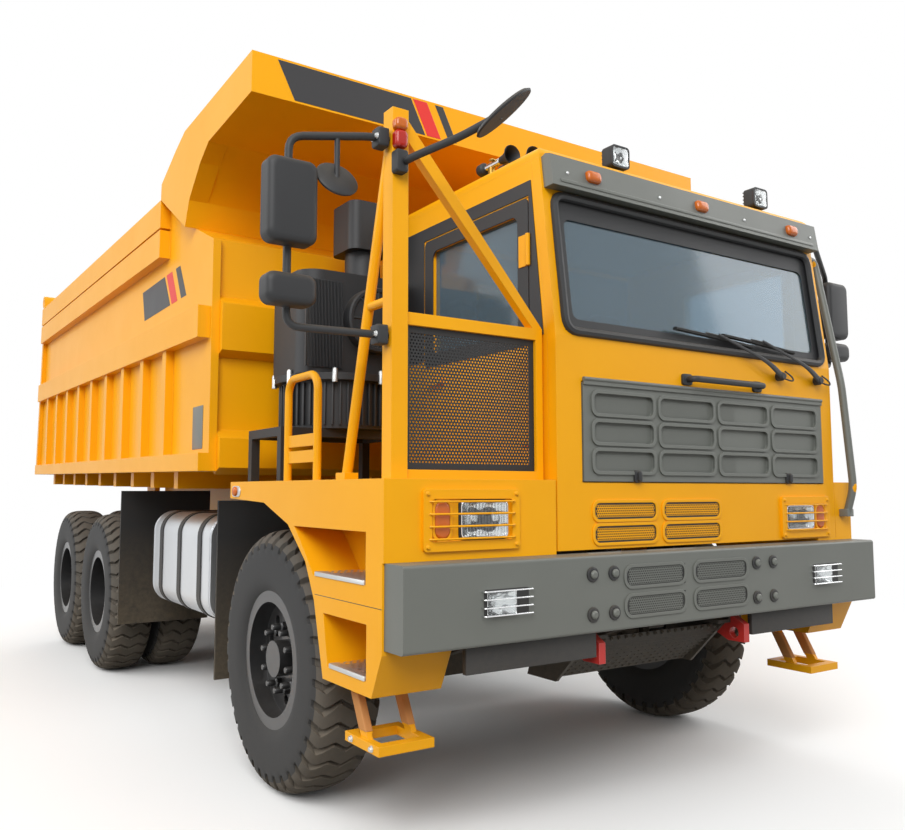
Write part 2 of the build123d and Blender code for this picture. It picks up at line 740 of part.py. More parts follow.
# Lamps: headlamps, bumper lamps, visor markers, roof work lamps, horns and post lamp
with BuildPart() as lamps:
    block((-1458, -950), (cab_front - 30, cab_front), (1327, 1589))
    block((947, 1396), (cab_front - 30, cab_front), (1327, 1560))
    for x in (-1050, 1250):
        block((x - 120, x + 120), (-12, 0), (1060, 1200))
    for x in (-430, 380, 1190):
        marker = [(visor_face(3115), 3115), (visor_face(3175), 3175), (visor_face(3175) - 20, 3172),
                  (visor_face(3115) - 20, 3118)]
        side_profile(marker, (x - 48, x + 48))
    for x in (0, 1000):
        block((x - 85, x + 85), (300, 400), (cab_roof_top, cab_roof_top + 190))
    for x in (cab_right + 90, cab_right + 200):
        block((x - 35, x + 35), (380, 760), (cab_roof_top, cab_roof_top + 90))
    block((post_x + 15, post_x + 65), (post_front - 40, post_front), (3100, 3190))
save(lamps, "lamps")

# Bed floor with its cross bearers, long sills, hinge ears and hoist brackets
bed_ear_x = 560
bed_ear_half = 30
hoist_ear_gap = 66
sill_bottom = 1240
rib_stations = [rib_first + rib_pitch * index for index in range(rib_count)]
with BuildPart() as bed_floor:
    floor = [(bed_front + 80, bed_bottom(bed_front + 80)), (bed_rear_bottom, bed_bottom(bed_rear_bottom))]
    floor += [(station, height + bed_floor_thickness) for station, height in reversed(floor)]
    side_profile(floor, (-bed_wall_inner, bed_wall_inner))
    for station in rib_stations:
        top = bed_bottom(station) + 5
        block((-bed_wall_inner, bed_wall_inner), (station - rib_width / 2, station + rib_width / 2),
              (top - cross_depth, top))
    for side in (-1, 1):
        reach = sorted((side * (sill_x - sill_width / 2), side * (sill_x + sill_width / 2)))
        sill = [(bed_front + 150, sill_bottom), (hinge_station - 300, sill_bottom), (hinge_station - 220, 1440),
                (hinge_station - 220, bed_bottom(hinge_station) + 5), (bed_front + 150, bed_bottom(bed_front) + 5)]
        side_profile(sill, reach)
        ear_reach = sorted((side * (bed_ear_x - bed_ear_half), side * (bed_ear_x + bed_ear_half)))
        ear = [(hinge_station - 200, bed_bottom(hinge_station) + 5), (hinge_station - 100, hinge_height - 80),
               (hinge_station + 100, hinge_height - 80), (hinge_station + 200, bed_bottom(hinge_station) + 5)]
        side_profile(ear, ear_reach)
        cross_bar(hinge_radius + running_gap, (ear_reach[0] - 1, ear_reach[1] + 1), hinge_station, hinge_height,
                  mode=Mode.SUBTRACT)
        for offset in (-hoist_ear_gap - 30, hoist_ear_gap):
            plate_x = side * hoist_x + offset
            bracket = [(hoist_head_station - 110, bed_bottom(hoist_head_station) + 5),
                       (hoist_head_station - 80, hoist_head_height - 80),
                       (hoist_head_station + 80, hoist_head_height - 80),
                       (hoist_head_station + 110, bed_bottom(hoist_head_station) + 5)]
            side_profile(bracket, (plate_x, plate_x + 30))
save(bed_floor, "bed_floor")


def line(start, end, station):
    """Height at a station on the straight line between two (station, height) points."""
    return start[1] + (end[1] - start[1]) * (station - start[0]) / (end[0] - start[0])


def rear_edge(height):
    """Station of the bed side's rear edge at a height."""
    return line((bed_bottom_rear, bed_rear_bottom), (bed_top_rear, bed_rear_top), height)


def side_rail(front, rear, depth, outer):
    """Add a rail along the side: its upper line from front to rear, and its depth."""
    outline = [front, (rear_edge(rear[1]), rear[1]), (rear_edge(rear[1] - depth), rear[1] - depth),
               (front[0], front[1] - depth)]
    side_profile(outline, (bed_wall_inner + bed_wall_thickness - 5, outer))


# Bed sides: plate, top rails with a groove, mid rail, ribs and bottom rail
gate_hinge = (8270, 3850)
gate_lug_radius = 70
gate_pin_radius = 30
canopy_root = (3155, bed_top_front)
canopy_heel = (2560, 3290)
with BuildPart() as bed_sides:
    plate = [(bed_front, bed_bottom_front), (bed_rear_bottom, bed_bottom_rear), (bed_rear_top, bed_top_rear),
             canopy_root, canopy_heel, (bed_front, 3136)]
    side_profile(plate, (bed_wall_inner, bed_wall_inner + bed_wall_thickness))
    side_rail(canopy_root, (0, bed_top_rear), 200, bed_half_width)
    side_rail((3155, bed_top_front - 215), (0, bed_top_rear - 215), 200, bed_half_width)
    side_rail((2240, 2720), (0, 2850), 200, bed_half_width)
    side_rail((bed_front, bed_bottom_front + 110), (0, bed_bottom_rear + 110), 110, bed_half_width - 10)
    for station in rib_stations:
        low = bed_bottom(station) + 100
        high = line((2240, 2720), (bed_rear_top, 2850), station) - 190
        block((bed_wall_inner + bed_wall_thickness - 5, bed_half_width - 20),
              (station - rib_width / 2, station + rib_width / 2), (low, high))
    cross_bar(gate_lug_radius, (bed_wall_inner, bed_half_width), gate_hinge[0], gate_hinge[1])
    block((bed_wall_inner, bed_half_width), (gate_hinge[0] - gate_lug_radius, gate_hinge[0]),
          (bed_top_rear - 60, gate_hinge[1]))
    cross_bar(gate_pin_radius + running_gap, (bed_wall_inner - 1, bed_half_width + 1), gate_hinge[0], gate_hinge[1],
              mode=Mode.SUBTRACT)
    mirror(about=Plane.YZ)
save(bed_sides, "bed_sides")

# Bed front wall with box stiffeners across it
with BuildPart() as bed_front_wall:
    wall = [(bed_front + 40, bed_bottom_front), (bed_front + 80, bed_bottom_front), (bed_front + 80, 3125),
            (2560, 3252), (2560, 3290), (bed_front + 40, 3150)]
    side_profile(wall, (-bed_wall_inner, bed_wall_inner))
    for low, high in ((2440, 2730), (1720, 1900)):
        side_profile([(bed_front + 45, low - 40), (bed_front + 45, high + 60), (bed_front - 50, high),
                      (bed_front - 50, low)], (-bed_wall_inner, bed_wall_inner))
    for x in (-745, 700):
        block((x, x + 45), (bed_front - 20, bed_front + 45), (1890, 3100))
save(bed_front_wall, "bed_front")

# Canopy over the cab: curved sheet between cheek plates, with a front fascia
canopy_front = 1400
canopy_top = 3975
fascia_bottom = 3740
canopy_sheet = 40
with BuildPart() as bed_canopy:
    cheek = [(canopy_front, canopy_top), (2618, 3954), (2818, 3887), (3149, 3752), canopy_root, canopy_heel,
             (2483, 3447), (2269, 3627), (2112, 3709), (canopy_front, fascia_bottom)]
    for side in (-1, 1):
        reach = sorted((side * bed_half_width, side * bed_wall_inner))
        side_profile(cheek, reach)
    with BuildSketch(Plane.YZ.offset(-bed_wall_inner)) as sheet:
        with BuildLine():
            start = Polyline((at(canopy_heel[0]), canopy_heel[1]), (at(2483), 3447))
            bend = ThreePointArc(start @ 1, (at(2350), 3570), (at(2112), 3709))
            Polyline(bend @ 1, (at(canopy_front), fascia_bottom), (at(canopy_front), fascia_bottom + canopy_sheet),
                     (at(2120), 3709 + canopy_sheet))
            inner = ThreePointArc((at(2120), 3709 + canopy_sheet), (at(2378), 3600), (at(2520), 3465))
            Polyline(inner @ 1, (at(canopy_heel[0] + 40), canopy_heel[1]), start @ 0)
        make_face()
    extrude(amount=2 * bed_wall_inner)
    block((-bed_half_width + 5, bed_half_width - 5), (canopy_front, canopy_front + 70), (fascia_bottom, canopy_top))
save(bed_canopy, "bed_canopy")

# Tailgate hung from its top corners by two arms and pins
gate_arm_width = 80
gate_arm_x = (bed_wall_inner - panel_gap - 4 - gate_arm_width, bed_wall_inner - panel_gap - 4)
gate_low = bed_bottom_rear
gate_high = 3720
with BuildPart() as tailgate:
    panel = [(rear_edge(gate_low) + panel_gap, gate_low), (rear_edge(gate_high) + panel_gap, gate_high)]
    panel += [(station + gate_thickness, height) for station, height in reversed(panel)]
    side_profile(panel, (-bed_half_width + 30, bed_half_width - 30))
    for height in (gate_low, gate_low + 480, gate_low + 960, gate_low + 1440):
        face = rear_edge(height) + panel_gap + gate_thickness
        rib = [(face - 20, height), (face + gate_rib_depth, height), (face + gate_rib_depth, height + 90),
               (face - 20, height + 120)]
        side_profile(rib, (-bed_half_width + 130, bed_half_width - 130))
    for side in (-1, 1):
        reach = sorted((side * gate_arm_x[0], side * gate_arm_x[1]))
        arm = [(gate_hinge[0] - 50, gate_hinge[1] - 30), (gate_hinge[0] - 20, gate_hinge[1] + 50),
               (gate_hinge[0] + 60, gate_hinge[1] + 40), (rear_edge(gate_high) + gate_thickness, gate_high + 60),
               (rear_edge(gate_high) + gate_thickness, gate_high - 200), (rear_edge(gate_high) + 8, gate_high - 200),
               (rear_edge(gate_high) + 8, gate_high)]
        side_profile(arm, reach)
        pin = sorted((side * (gate_arm_x[0] + 10), side * (bed_half_width - 4)))
        cross_bar(gate_pin_radius, pin, gate_hinge[0], gate_hinge[1])
save(tailgate, "tailgate")

# Doors with their windows cut, and the glass in them
door_thickness = cab_wall - 4
door_hinge_radius = 12
door_hinge_length = 160
door_hinge_set = 4
window_reach = (door_front + 80, door_rear - 80)
window_z = (cab_sill + 40, door_head - 70)
door_sides = {"left": (cab_left, -1), "right": (cab_right, 1)}
for name, (outer, inward) in door_sides.items():
    skin = sorted((outer, outer + inward * door_thickness))
    with BuildPart() as door:
        block(skin, (door_front + panel_gap, door_rear - panel_gap), (door_foot + panel_gap, door_head - panel_gap))
        block((skin[0] - 1, skin[1] + 1), window_reach, window_z, mode=Mode.SUBTRACT)
        block(sorted((outer, outer - inward * 30)), (door_rear - 200, door_rear - 60), (2180, 2215))
        axis_x = outer - inward * (door_hinge_radius + running_gap)
        for low in (door_foot + 150, door_head - 350):
            height = (low, low + door_hinge_length)
            post(door_hinge_radius, axis_x, door_front - door_hinge_set, height)
            leaf = sorted((outer, outer - inward * door_hinge_radius))
            block(leaf, (door_front + panel_gap, door_front + 70), height)
            link = sorted((outer - inward * 3, outer - inward * door_hinge_radius))
            block(link, (door_front - door_hinge_set, door_front + panel_gap), height)
    save(door, f"door_{name}")
    middle_x = outer + inward * door_thickness / 2
    with BuildPart() as pane:
        block((middle_x - glass_thickness / 2, middle_x + glass_thickness / 2),
              (window_reach[0] + seat_gap, window_reach[1] - seat_gap),
              (window_z[0] + seat_gap, window_z[1] - seat_gap))
    save(pane, f"door_glass_{name}")

# Grille hatch in the cab's front: a plate with rows of raised slots, hinged along its top
hatch_rows = 3
hatch_columns = 4
with BuildPart() as grille_hatch:
    block(hatch_x, (cab_front - 6, cab_front + hatch_depth - 6), hatch_z)
    hinge_line = hatch_z[1] + panel_gap + hatch_hinge_radius
    hinge_at = cab_front - hatch_hinge_radius - running_gap
    cross_bar(hatch_hinge_radius, hatch_x, hinge_at, hinge_line)
    block(hatch_x, (hinge_at - 4, cab_front - 4), (hatch_z[1] - 12, hinge_line))
    row_pitch = 140
    column_pitch = 460
    with BuildSketch(Plane.XZ.offset(-at(cab_front - 6))) as slots:
        with Locations(((hatch_x[0] + hatch_x[1]) / 2, (hatch_z[0] + hatch_z[1]) / 2)):
            with GridLocations(column_pitch, row_pitch, hatch_columns, hatch_rows):
                RectangleRounded(410, 100, 30)
    extrude(amount=-10, mode=Mode.SUBTRACT)
save(grille_hatch, "grille_hatch")

# Steering knuckles: fork round the boss, spindle and steering arm with its stud
fork_gap = 0.6
web_reach = (boss_radius + 8, boss_radius + 70)
stud_radius = 16
front_hub_out = 120
knuckle_sides = {"left": 1, "right": -1}
for name, side in knuckle_sides.items():
    boss_low = kingpin_height - boss_height / 2
    boss_high = kingpin_height + boss_height / 2
    with BuildPart() as knuckle:
        for low, high in ((boss_high + fork_gap, boss_high + fork_thickness), (boss_low - fork_thickness, boss_low - fork_gap)):
            post(boss_radius + 5, side * kingpin_x, front_axle, (low, high))
            block(sorted((side * kingpin_x, side * (kingpin_x + web_reach[1]))), (front_axle - 65, front_axle + 65), (low, high))
        block(sorted((side * (kingpin_x + web_reach[0]), side * (kingpin_x + web_reach[1]))),
              (front_axle - 65, front_axle + 65), (boss_low - fork_thickness, boss_high + fork_thickness))
        cross_bar(spindle_radius, sorted((side * (kingpin_x + web_reach[0]), side * (front_track / 2 + front_hub_out))),
                  front_axle, tyre_radius)
        block((side * kingpin_x - 30, side * kingpin_x + 30), (front_axle, front_axle + steer_arm + 30),
              (boss_low - fork_thickness, boss_low - fork_thickness + 36))
        post(stud_radius, side * kingpin_x, front_axle + steer_arm, (tie_rod_height - 40, boss_low - fork_thickness + 10))
        post(kingpin_radius + running_gap, side * kingpin_x, front_axle, (0, 2 * tyre_radius), mode=Mode.SUBTRACT)
    save(knuckle, f"knuckle_{name}")

# Tie rod between the two steering arms
with BuildPart() as tie_rod:
    cross_bar(tie_rod_radius, (-kingpin_x, kingpin_x), front_axle + steer_arm, tie_rod_height)
    for side in (-1, 1):
        post(40, side * kingpin_x, front_axle + steer_arm, (tie_rod_height - 26, tie_rod_height + 22))
    for side in (-1, 1):
        post(stud_radius + running_gap, side * kingpin_x, front_axle + steer_arm, (0, 2 * tyre_radius), mode=Mode.SUBTRACT)
save(tie_rod, "tie_rod")

# Front wheels
rim_outer = bead_radius - running_gap
rim_inner = rim_outer - rim_wall
rim_edge = bead_width / 2 + running_gap
flange_top = rim_outer + rim_flange_height
hand_holes = 10
for name, side in knuckle_sides.items():
    plane = wheel_plane(side * front_track / 2, front_axle, side)
    with BuildPart() as tyre:
        spun(tyre_outline(0), plane)
    save(tyre, f"front_tyre_{name}")
    bore = spindle_radius + running_gap
    section = [
        (-130, bore), (-130, 150), (40, 150), (40, rim_inner), (-rim_edge - rim_flange, rim_inner),
        (-rim_edge - rim_flange, flange_top), (-rim_edge, flange_top), (-rim_edge, rim_outer), (rim_edge, rim_outer),
        (rim_edge, flange_top), (rim_edge + rim_flange, flange_top), (rim_edge + rim_flange, rim_inner),
        (62, rim_inner), (62, 95), (front_hub_out + 22, 95), (front_hub_out + 22, 0), (front_hub_out + 5, 0),
        (front_hub_out + 5, bore),
    ]
    with BuildPart() as rim:
        spun(section, plane)
        with Locations(Plane(plane.origin, x_dir=(0, 0, 1), z_dir=(side, 0, 0))):
            with PolarLocations(225, hand_holes):
                Cylinder(28, 300, mode=Mode.SUBTRACT)
    save(rim, f"front_rim_{name}")

# Rear twin wheels
axle_names = ("mid", "rear")
half_twin = twin_spacing / 2
for axle, station in zip(axle_names, rear_axles_at):
    for name, side in knuckle_sides.items():
        plane = wheel_plane(side * twin_track / 2, station, side)
        with BuildPart() as tyres:
            spun(tyre_outline(half_twin), plane)
            spun(tyre_outline(-half_twin), plane)
        save(tyres, f"{axle}_tyres_{name}")
        bore = rear_spindle_radius + running_gap
        far = half_twin + rim_edge
        near = half_twin - rim_edge
        outer_half = [
            (near - rim_flange, rim_outer), (near - rim_flange, flange_top), (near, flange_top), (near, rim_outer),
            (far, rim_outer), (far, flange_top), (far + rim_flange, flange_top), (far + rim_flange, rim_inner),
        ]
        inner_half = [(-along, radius) for along, radius in reversed(outer_half)]
        middle = [(22, rim_inner), (22, 170), (205, 150), (205, 0), (186, 0), (186, bore), (-140, bore),
                  (-140, 180), (-22, 180), (-22, rim_inner)]
        with BuildPart() as rims:
            spun(inner_half + outer_half + middle, plane)
        save(rims, f"{axle}_rims_{name}")

# Hoists: barrel on the frame's shaft, rod up to the bed's bracket
hoist_run = Vector(0, hoist_head_station - hoist_foot_station, hoist_head_height - hoist_foot_height)
hoist_length = hoist_run.length
hoist_direction = hoist_run.normalized()
barrel_end = hoist_length - 190
gland_gap = 0.3
for name, side in knuckle_sides.items():
    foot = Vector(side * hoist_x, at(hoist_foot_station), hoist_foot_height)
    barrel_plane = Plane(foot + hoist_direction * 90, x_dir=(1, 0, 0), z_dir=hoist_direction)
    with BuildPart() as barrel:
        with BuildSketch(barrel_plane):
            Circle(barrel_radius)
        extrude(amount=barrel_end - 90)
        cross_bar(hinge_radius + 40, (side * hoist_x - 60, side * hoist_x + 60), hoist_foot_station, hoist_foot_height)
        cross_bar(hinge_radius + running_gap, (side * hoist_x - 200, side * hoist_x + 200), hoist_foot_station,
                  hoist_foot_height, mode=Mode.SUBTRACT)
        with BuildSketch(Plane(foot + hoist_direction * 130, x_dir=(1, 0, 0), z_dir=hoist_direction)):
            Circle(hoist_rod_radius + gland_gap)
        extrude(amount=barrel_end, mode=Mode.SUBTRACT)
    save(barrel, f"hoist_barrel_{name}")
    with BuildPart() as rod:
        with BuildSketch(Plane(foot + hoist_direction * 140, x_dir=(1, 0, 0), z_dir=hoist_direction)):
            Circle(hoist_rod_radius)
        extrude(amount=hoist_length - 140)
        cross_bar(75, (side * hoist_x - 60, side * hoist_x + 60), hoist_head_station, hoist_head_height)
    save(rod, f"hoist_rod_{name}")
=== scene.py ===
"""Looks of a wide-body mining dump truck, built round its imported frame.

Metres. X points to the truck's left, Y to its rear and Z up. A station is a distance back from the
bumper's front face.
"""
from __future__ import annotations

import json
import logging
import math
from dataclasses import dataclass
from enum import Enum

import bmesh
import bpy
import numpy as np
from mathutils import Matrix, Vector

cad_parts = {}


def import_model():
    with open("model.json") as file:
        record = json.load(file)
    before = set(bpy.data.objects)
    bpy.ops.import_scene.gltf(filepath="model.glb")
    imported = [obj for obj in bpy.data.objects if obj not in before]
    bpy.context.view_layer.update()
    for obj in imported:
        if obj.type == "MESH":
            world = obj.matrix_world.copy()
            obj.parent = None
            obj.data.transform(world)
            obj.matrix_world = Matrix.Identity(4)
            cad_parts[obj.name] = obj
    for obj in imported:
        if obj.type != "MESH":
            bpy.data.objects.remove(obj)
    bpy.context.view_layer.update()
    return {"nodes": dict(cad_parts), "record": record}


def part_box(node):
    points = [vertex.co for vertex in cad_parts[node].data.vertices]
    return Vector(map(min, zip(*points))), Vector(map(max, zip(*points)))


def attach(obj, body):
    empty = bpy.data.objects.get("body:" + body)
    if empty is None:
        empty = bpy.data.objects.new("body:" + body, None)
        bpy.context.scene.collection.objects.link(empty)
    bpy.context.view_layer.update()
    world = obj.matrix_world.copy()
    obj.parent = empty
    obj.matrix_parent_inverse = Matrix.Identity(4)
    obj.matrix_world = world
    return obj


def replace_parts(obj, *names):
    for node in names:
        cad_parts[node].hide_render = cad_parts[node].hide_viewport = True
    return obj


LOG = logging.getLogger("dump_truck")
CHASSIS = "chassis"
MM = 0.001
Array = np.ndarray
Point = tuple[float, float, float]
Span = tuple[float, float]


def linear(colour: str) -> tuple[float, float, float, float]:
    """Turn an sRGB hex colour into linear RGBA.

    Args:
        colour: a hex value such as "#FDB515".

    Returns:
        Linear red, green and blue with an alpha of 1.
    """
    coded = np.array([int(colour[place:place + 2], 16) for place in (1, 3, 5)]) / 255
    straight = np.where(coded <= 0.04045, coded / 12.92, ((coded + 0.055) / 1.055) ** 2.4)
    return (*straight.tolist(), 1.0)


def add_node(tree: bpy.types.NodeTree, kind: str, inputs: dict | None = None,
             **settings: object) -> bpy.types.Node:
    """Add a node with its settings and links.

    Args:
        tree: the material's or world's node tree.
        kind: the node type's identifier.
        inputs: values by input name or number; a socket is linked, anything else is set.
        settings: the node's own attributes.

    Returns:
        The new node.
    """
    node = tree.nodes.new(kind)
    for name, value in settings.items():
        setattr(node, name, value)
    for name, value in (inputs or {}).items():
        if isinstance(value, bpy.types.NodeSocket):
            tree.links.new(value, node.inputs[name])
        else:
            node.inputs[name].default_value = value
    return node


@dataclass(frozen=True)
class Finish:
    """A painted, moulded or cast surface with faded tones, settled dust, edges lightened by wear and a
    painted highlight, and a fine grain.
    """

    name: str
    slot: str
    colour: str
    faded: str
    roughness: float
    metallic: float = 0.0
    coat: float = 0.0
    fade_mm: float = 420.0
    fade: float = 0.35
    grain_mm: float = 2.5
    grain_depth_mm: float = 0.05
    edge_mm: float = 4.0
    edge: float = 0.25
    edge_colour: str = "#FFFFFF"
    dust: float = 0.15
    dust_colour: str = "#9C8A6E"
    specular: float = 0.5

    def build(self) -> bpy.types.Material:
        """Make the material."""
        material = bpy.data.materials.new(self.name)
        material.use_nodes = True
        tree = material.node_tree
        tree.nodes.clear()
        place = add_node(tree, "ShaderNodeTexCoord").outputs["Object"]
        rounded = add_node(tree, "ShaderNodeBevel", {"Radius": self.edge_mm * MM},
                           samples=4).outputs["Normal"]
        colour, roughness = self.tones(tree, place, rounded)
        shader = add_node(tree, "ShaderNodeBsdfPrincipled", {
            "Base Color": colour, "Roughness": roughness, "Metallic": self.metallic,
            "Coat Weight": self.coat, "Coat Roughness": 0.06, "Specular IOR Level": self.specular,
            "Normal": self.relief(tree, place, rounded),
        })
        self.clear(shader)
        add_node(tree, "ShaderNodeOutputMaterial", {"Surface": shader.outputs["BSDF"]})
        return material

    def clear(self, shader: bpy.types.Node) -> None:
        """Set what a see-through finish adds to its shader; an opaque one adds nothing."""

    def tones(self, tree: bpy.types.NodeTree, place: bpy.types.NodeSocket,
              rounded: bpy.types.NodeSocket) -> tuple[bpy.types.NodeSocket, bpy.types.NodeSocket]:
        """Mix the finish's colour with its fading, its edges lightened by wear and a painted highlight, and
        dust.

        Args:
            tree: the material's node tree.
            place: object coordinates.
            rounded: the normal with edges rounded off.

        Returns:
            The colour and roughness sockets.
        """
        cloud = add_node(tree, "ShaderNodeTexNoise", {
            "Vector": place, "Scale": 1000 / self.fade_mm, "Detail": 5.0, "Roughness": 0.6}).outputs["Fac"]
        share = add_node(tree, "ShaderNodeMapRange", {
            "Value": cloud, "From Min": 0.35, "From Max": 0.7, "To Max": self.fade}).outputs["Result"]
        colour = add_node(tree, "ShaderNodeMix", {
            0: share, 6: linear(self.colour), 7: linear(self.faded)}, data_type="RGBA").outputs[2]
        face = add_node(tree, "ShaderNodeNewGeometry").outputs["Normal"]
        along = add_node(tree, "ShaderNodeVectorMath", {0: rounded, 1: face},
                         operation="DOT_PRODUCT").outputs["Value"]
        # Sharp edges are lightened towards edge_colour in patches: partly wear, partly a painted highlight
        # along the edges
        edge_wear_and_highlight = add_node(tree, "ShaderNodeMapRange", {
            "Value": along, "From Min": 0.995, "From Max": 0.9, "To Max": self.edge}).outputs["Result"]
        worn_and_highlit = add_node(tree, "ShaderNodeMath", {0: edge_wear_and_highlight, 1: cloud},
                        operation="MULTIPLY").outputs["Value"]
        colour = add_node(tree, "ShaderNodeMix", {
            0: worn_and_highlit, 6: colour, 7: linear(self.edge_colour)}, data_type="RGBA").outputs[2]
        up = add_node(tree, "ShaderNodeSeparateXYZ", {"Vector": face}).outputs["Z"]
        lying = add_node(tree, "ShaderNodeMapRange", {
            "Value": up, "From Min": 0.2, "From Max": 1.0, "To Max": self.dust}).outputs["Result"]
        height = add_node(tree, "ShaderNodeSeparateXYZ", {"Vector": place}).outputs["Z"]
        splashed = add_node(tree, "ShaderNodeMapRange", {
            "Value": height, "From Min": 1.3, "From Max": 0.1, "To Max": self.dust}).outputs["Result"]
        both = add_node(tree, "ShaderNodeMath", {0: lying, 1: splashed}, operation="ADD").outputs["Value"]
        specks = add_node(tree, "ShaderNodeTexNoise", {
            "Vector": place, "Scale": 28.0, "Detail": 6.0, "Roughness": 0.7}).outputs["Fac"]
        settled = add_node(tree, "ShaderNodeMath", {0: both, 1: specks},
                           operation="MULTIPLY").outputs["Value"]
        colour = add_node(tree, "ShaderNodeMix", {
            0: settled, 6: colour, 7: linear(self.dust_colour)}, data_type="RGBA").outputs[2]
        smudge = add_node(tree, "ShaderNodeMath", {0: settled, 1: 0.5, 2: self.roughness},
                          operation="MULTIPLY_ADD").outputs["Value"]
        roughness = add_node(tree, "ShaderNodeMath", {0: cloud, 1: 0.12, 2: smudge},
                             operation="MULTIPLY_ADD").outputs["Value"]
        return colour, roughness

    def relief(self, tree: bpy.types.NodeTree, place: bpy.types.NodeSocket,
               rounded: bpy.types.NodeSocket) -> bpy.types.NodeSocket:
        """Give the surface its fine grain over the rounded edges, as a normal."""
        grain = add_node(tree, "ShaderNodeTexNoise", {
            "Vector": place, "Scale": 1000 / self.grain_mm, "Detail": 3.0}).outputs["Fac"]
        return add_node(tree, "ShaderNodeBump", {
            "Height": grain, "Distance": self.grain_depth_mm * MM, "Strength": 0.6, "Normal": rounded,
        }).outputs["Normal"]


@dataclass(frozen=True)
class BrushedMetal(Finish):
    """Rolled or brushed bare metal, with fine streaks along the truck."""

    metallic: float = 1.0
    streak: float = 0.03

    def relief(self, tree: bpy.types.NodeTree, place: bpy.types.NodeSocket,
               rounded: bpy.types.NodeSocket) -> bpy.types.NodeSocket:
        """Stretch the grain into streaks, as a normal."""
        drawn = add_node(tree, "ShaderNodeMapping", {
            "Vector": place, "Scale": (1.0, self.streak, 1.0)}).outputs["Vector"]
        return super().relief(tree, drawn, rounded)


@dataclass(frozen=True)
class WovenCloth(Finish):
    """Seat cloth in a plain weave, drawn coarser than real thread so that it shows."""

    thread_mm: float = 4.0

    def relief(self, tree: bpy.types.NodeTree, place: bpy.types.NodeSocket,
               rounded: bpy.types.NodeSocket) -> bpy.types.NodeSocket:
        """Cross two thread waves for the weave, as a normal."""
        # A wave repeats every 314 mm at a scale of 1, and over and under make one wave
        scale = 314 / self.thread_mm / 2
        threads = [add_node(tree, "ShaderNodeTexWave", {"Vector": place, "Scale": scale},
                            bands_direction=way).outputs["Fac"] for way in "XZ"]
        weave = add_node(tree, "ShaderNodeMath", {0: threads[0], 1: threads[1]},
                         operation="MULTIPLY").outputs["Value"]
        return add_node(tree, "ShaderNodeBump", {
            "Height": weave, "Distance": 0.8 * MM, "Strength": 0.5, "Normal": rounded}).outputs["Normal"]


@dataclass(frozen=True)
class ClearFinish(Finish):
    """Glass or a moulded lens that light passes through."""

    transmission: float = 1.0
    ior: float = 1.5

    def clear(self, shader: bpy.types.Node) -> None:
        """Let light through."""
        shader.inputs["Transmission Weight"].default_value = self.transmission
        shader.inputs["IOR"].default_value = self.ior


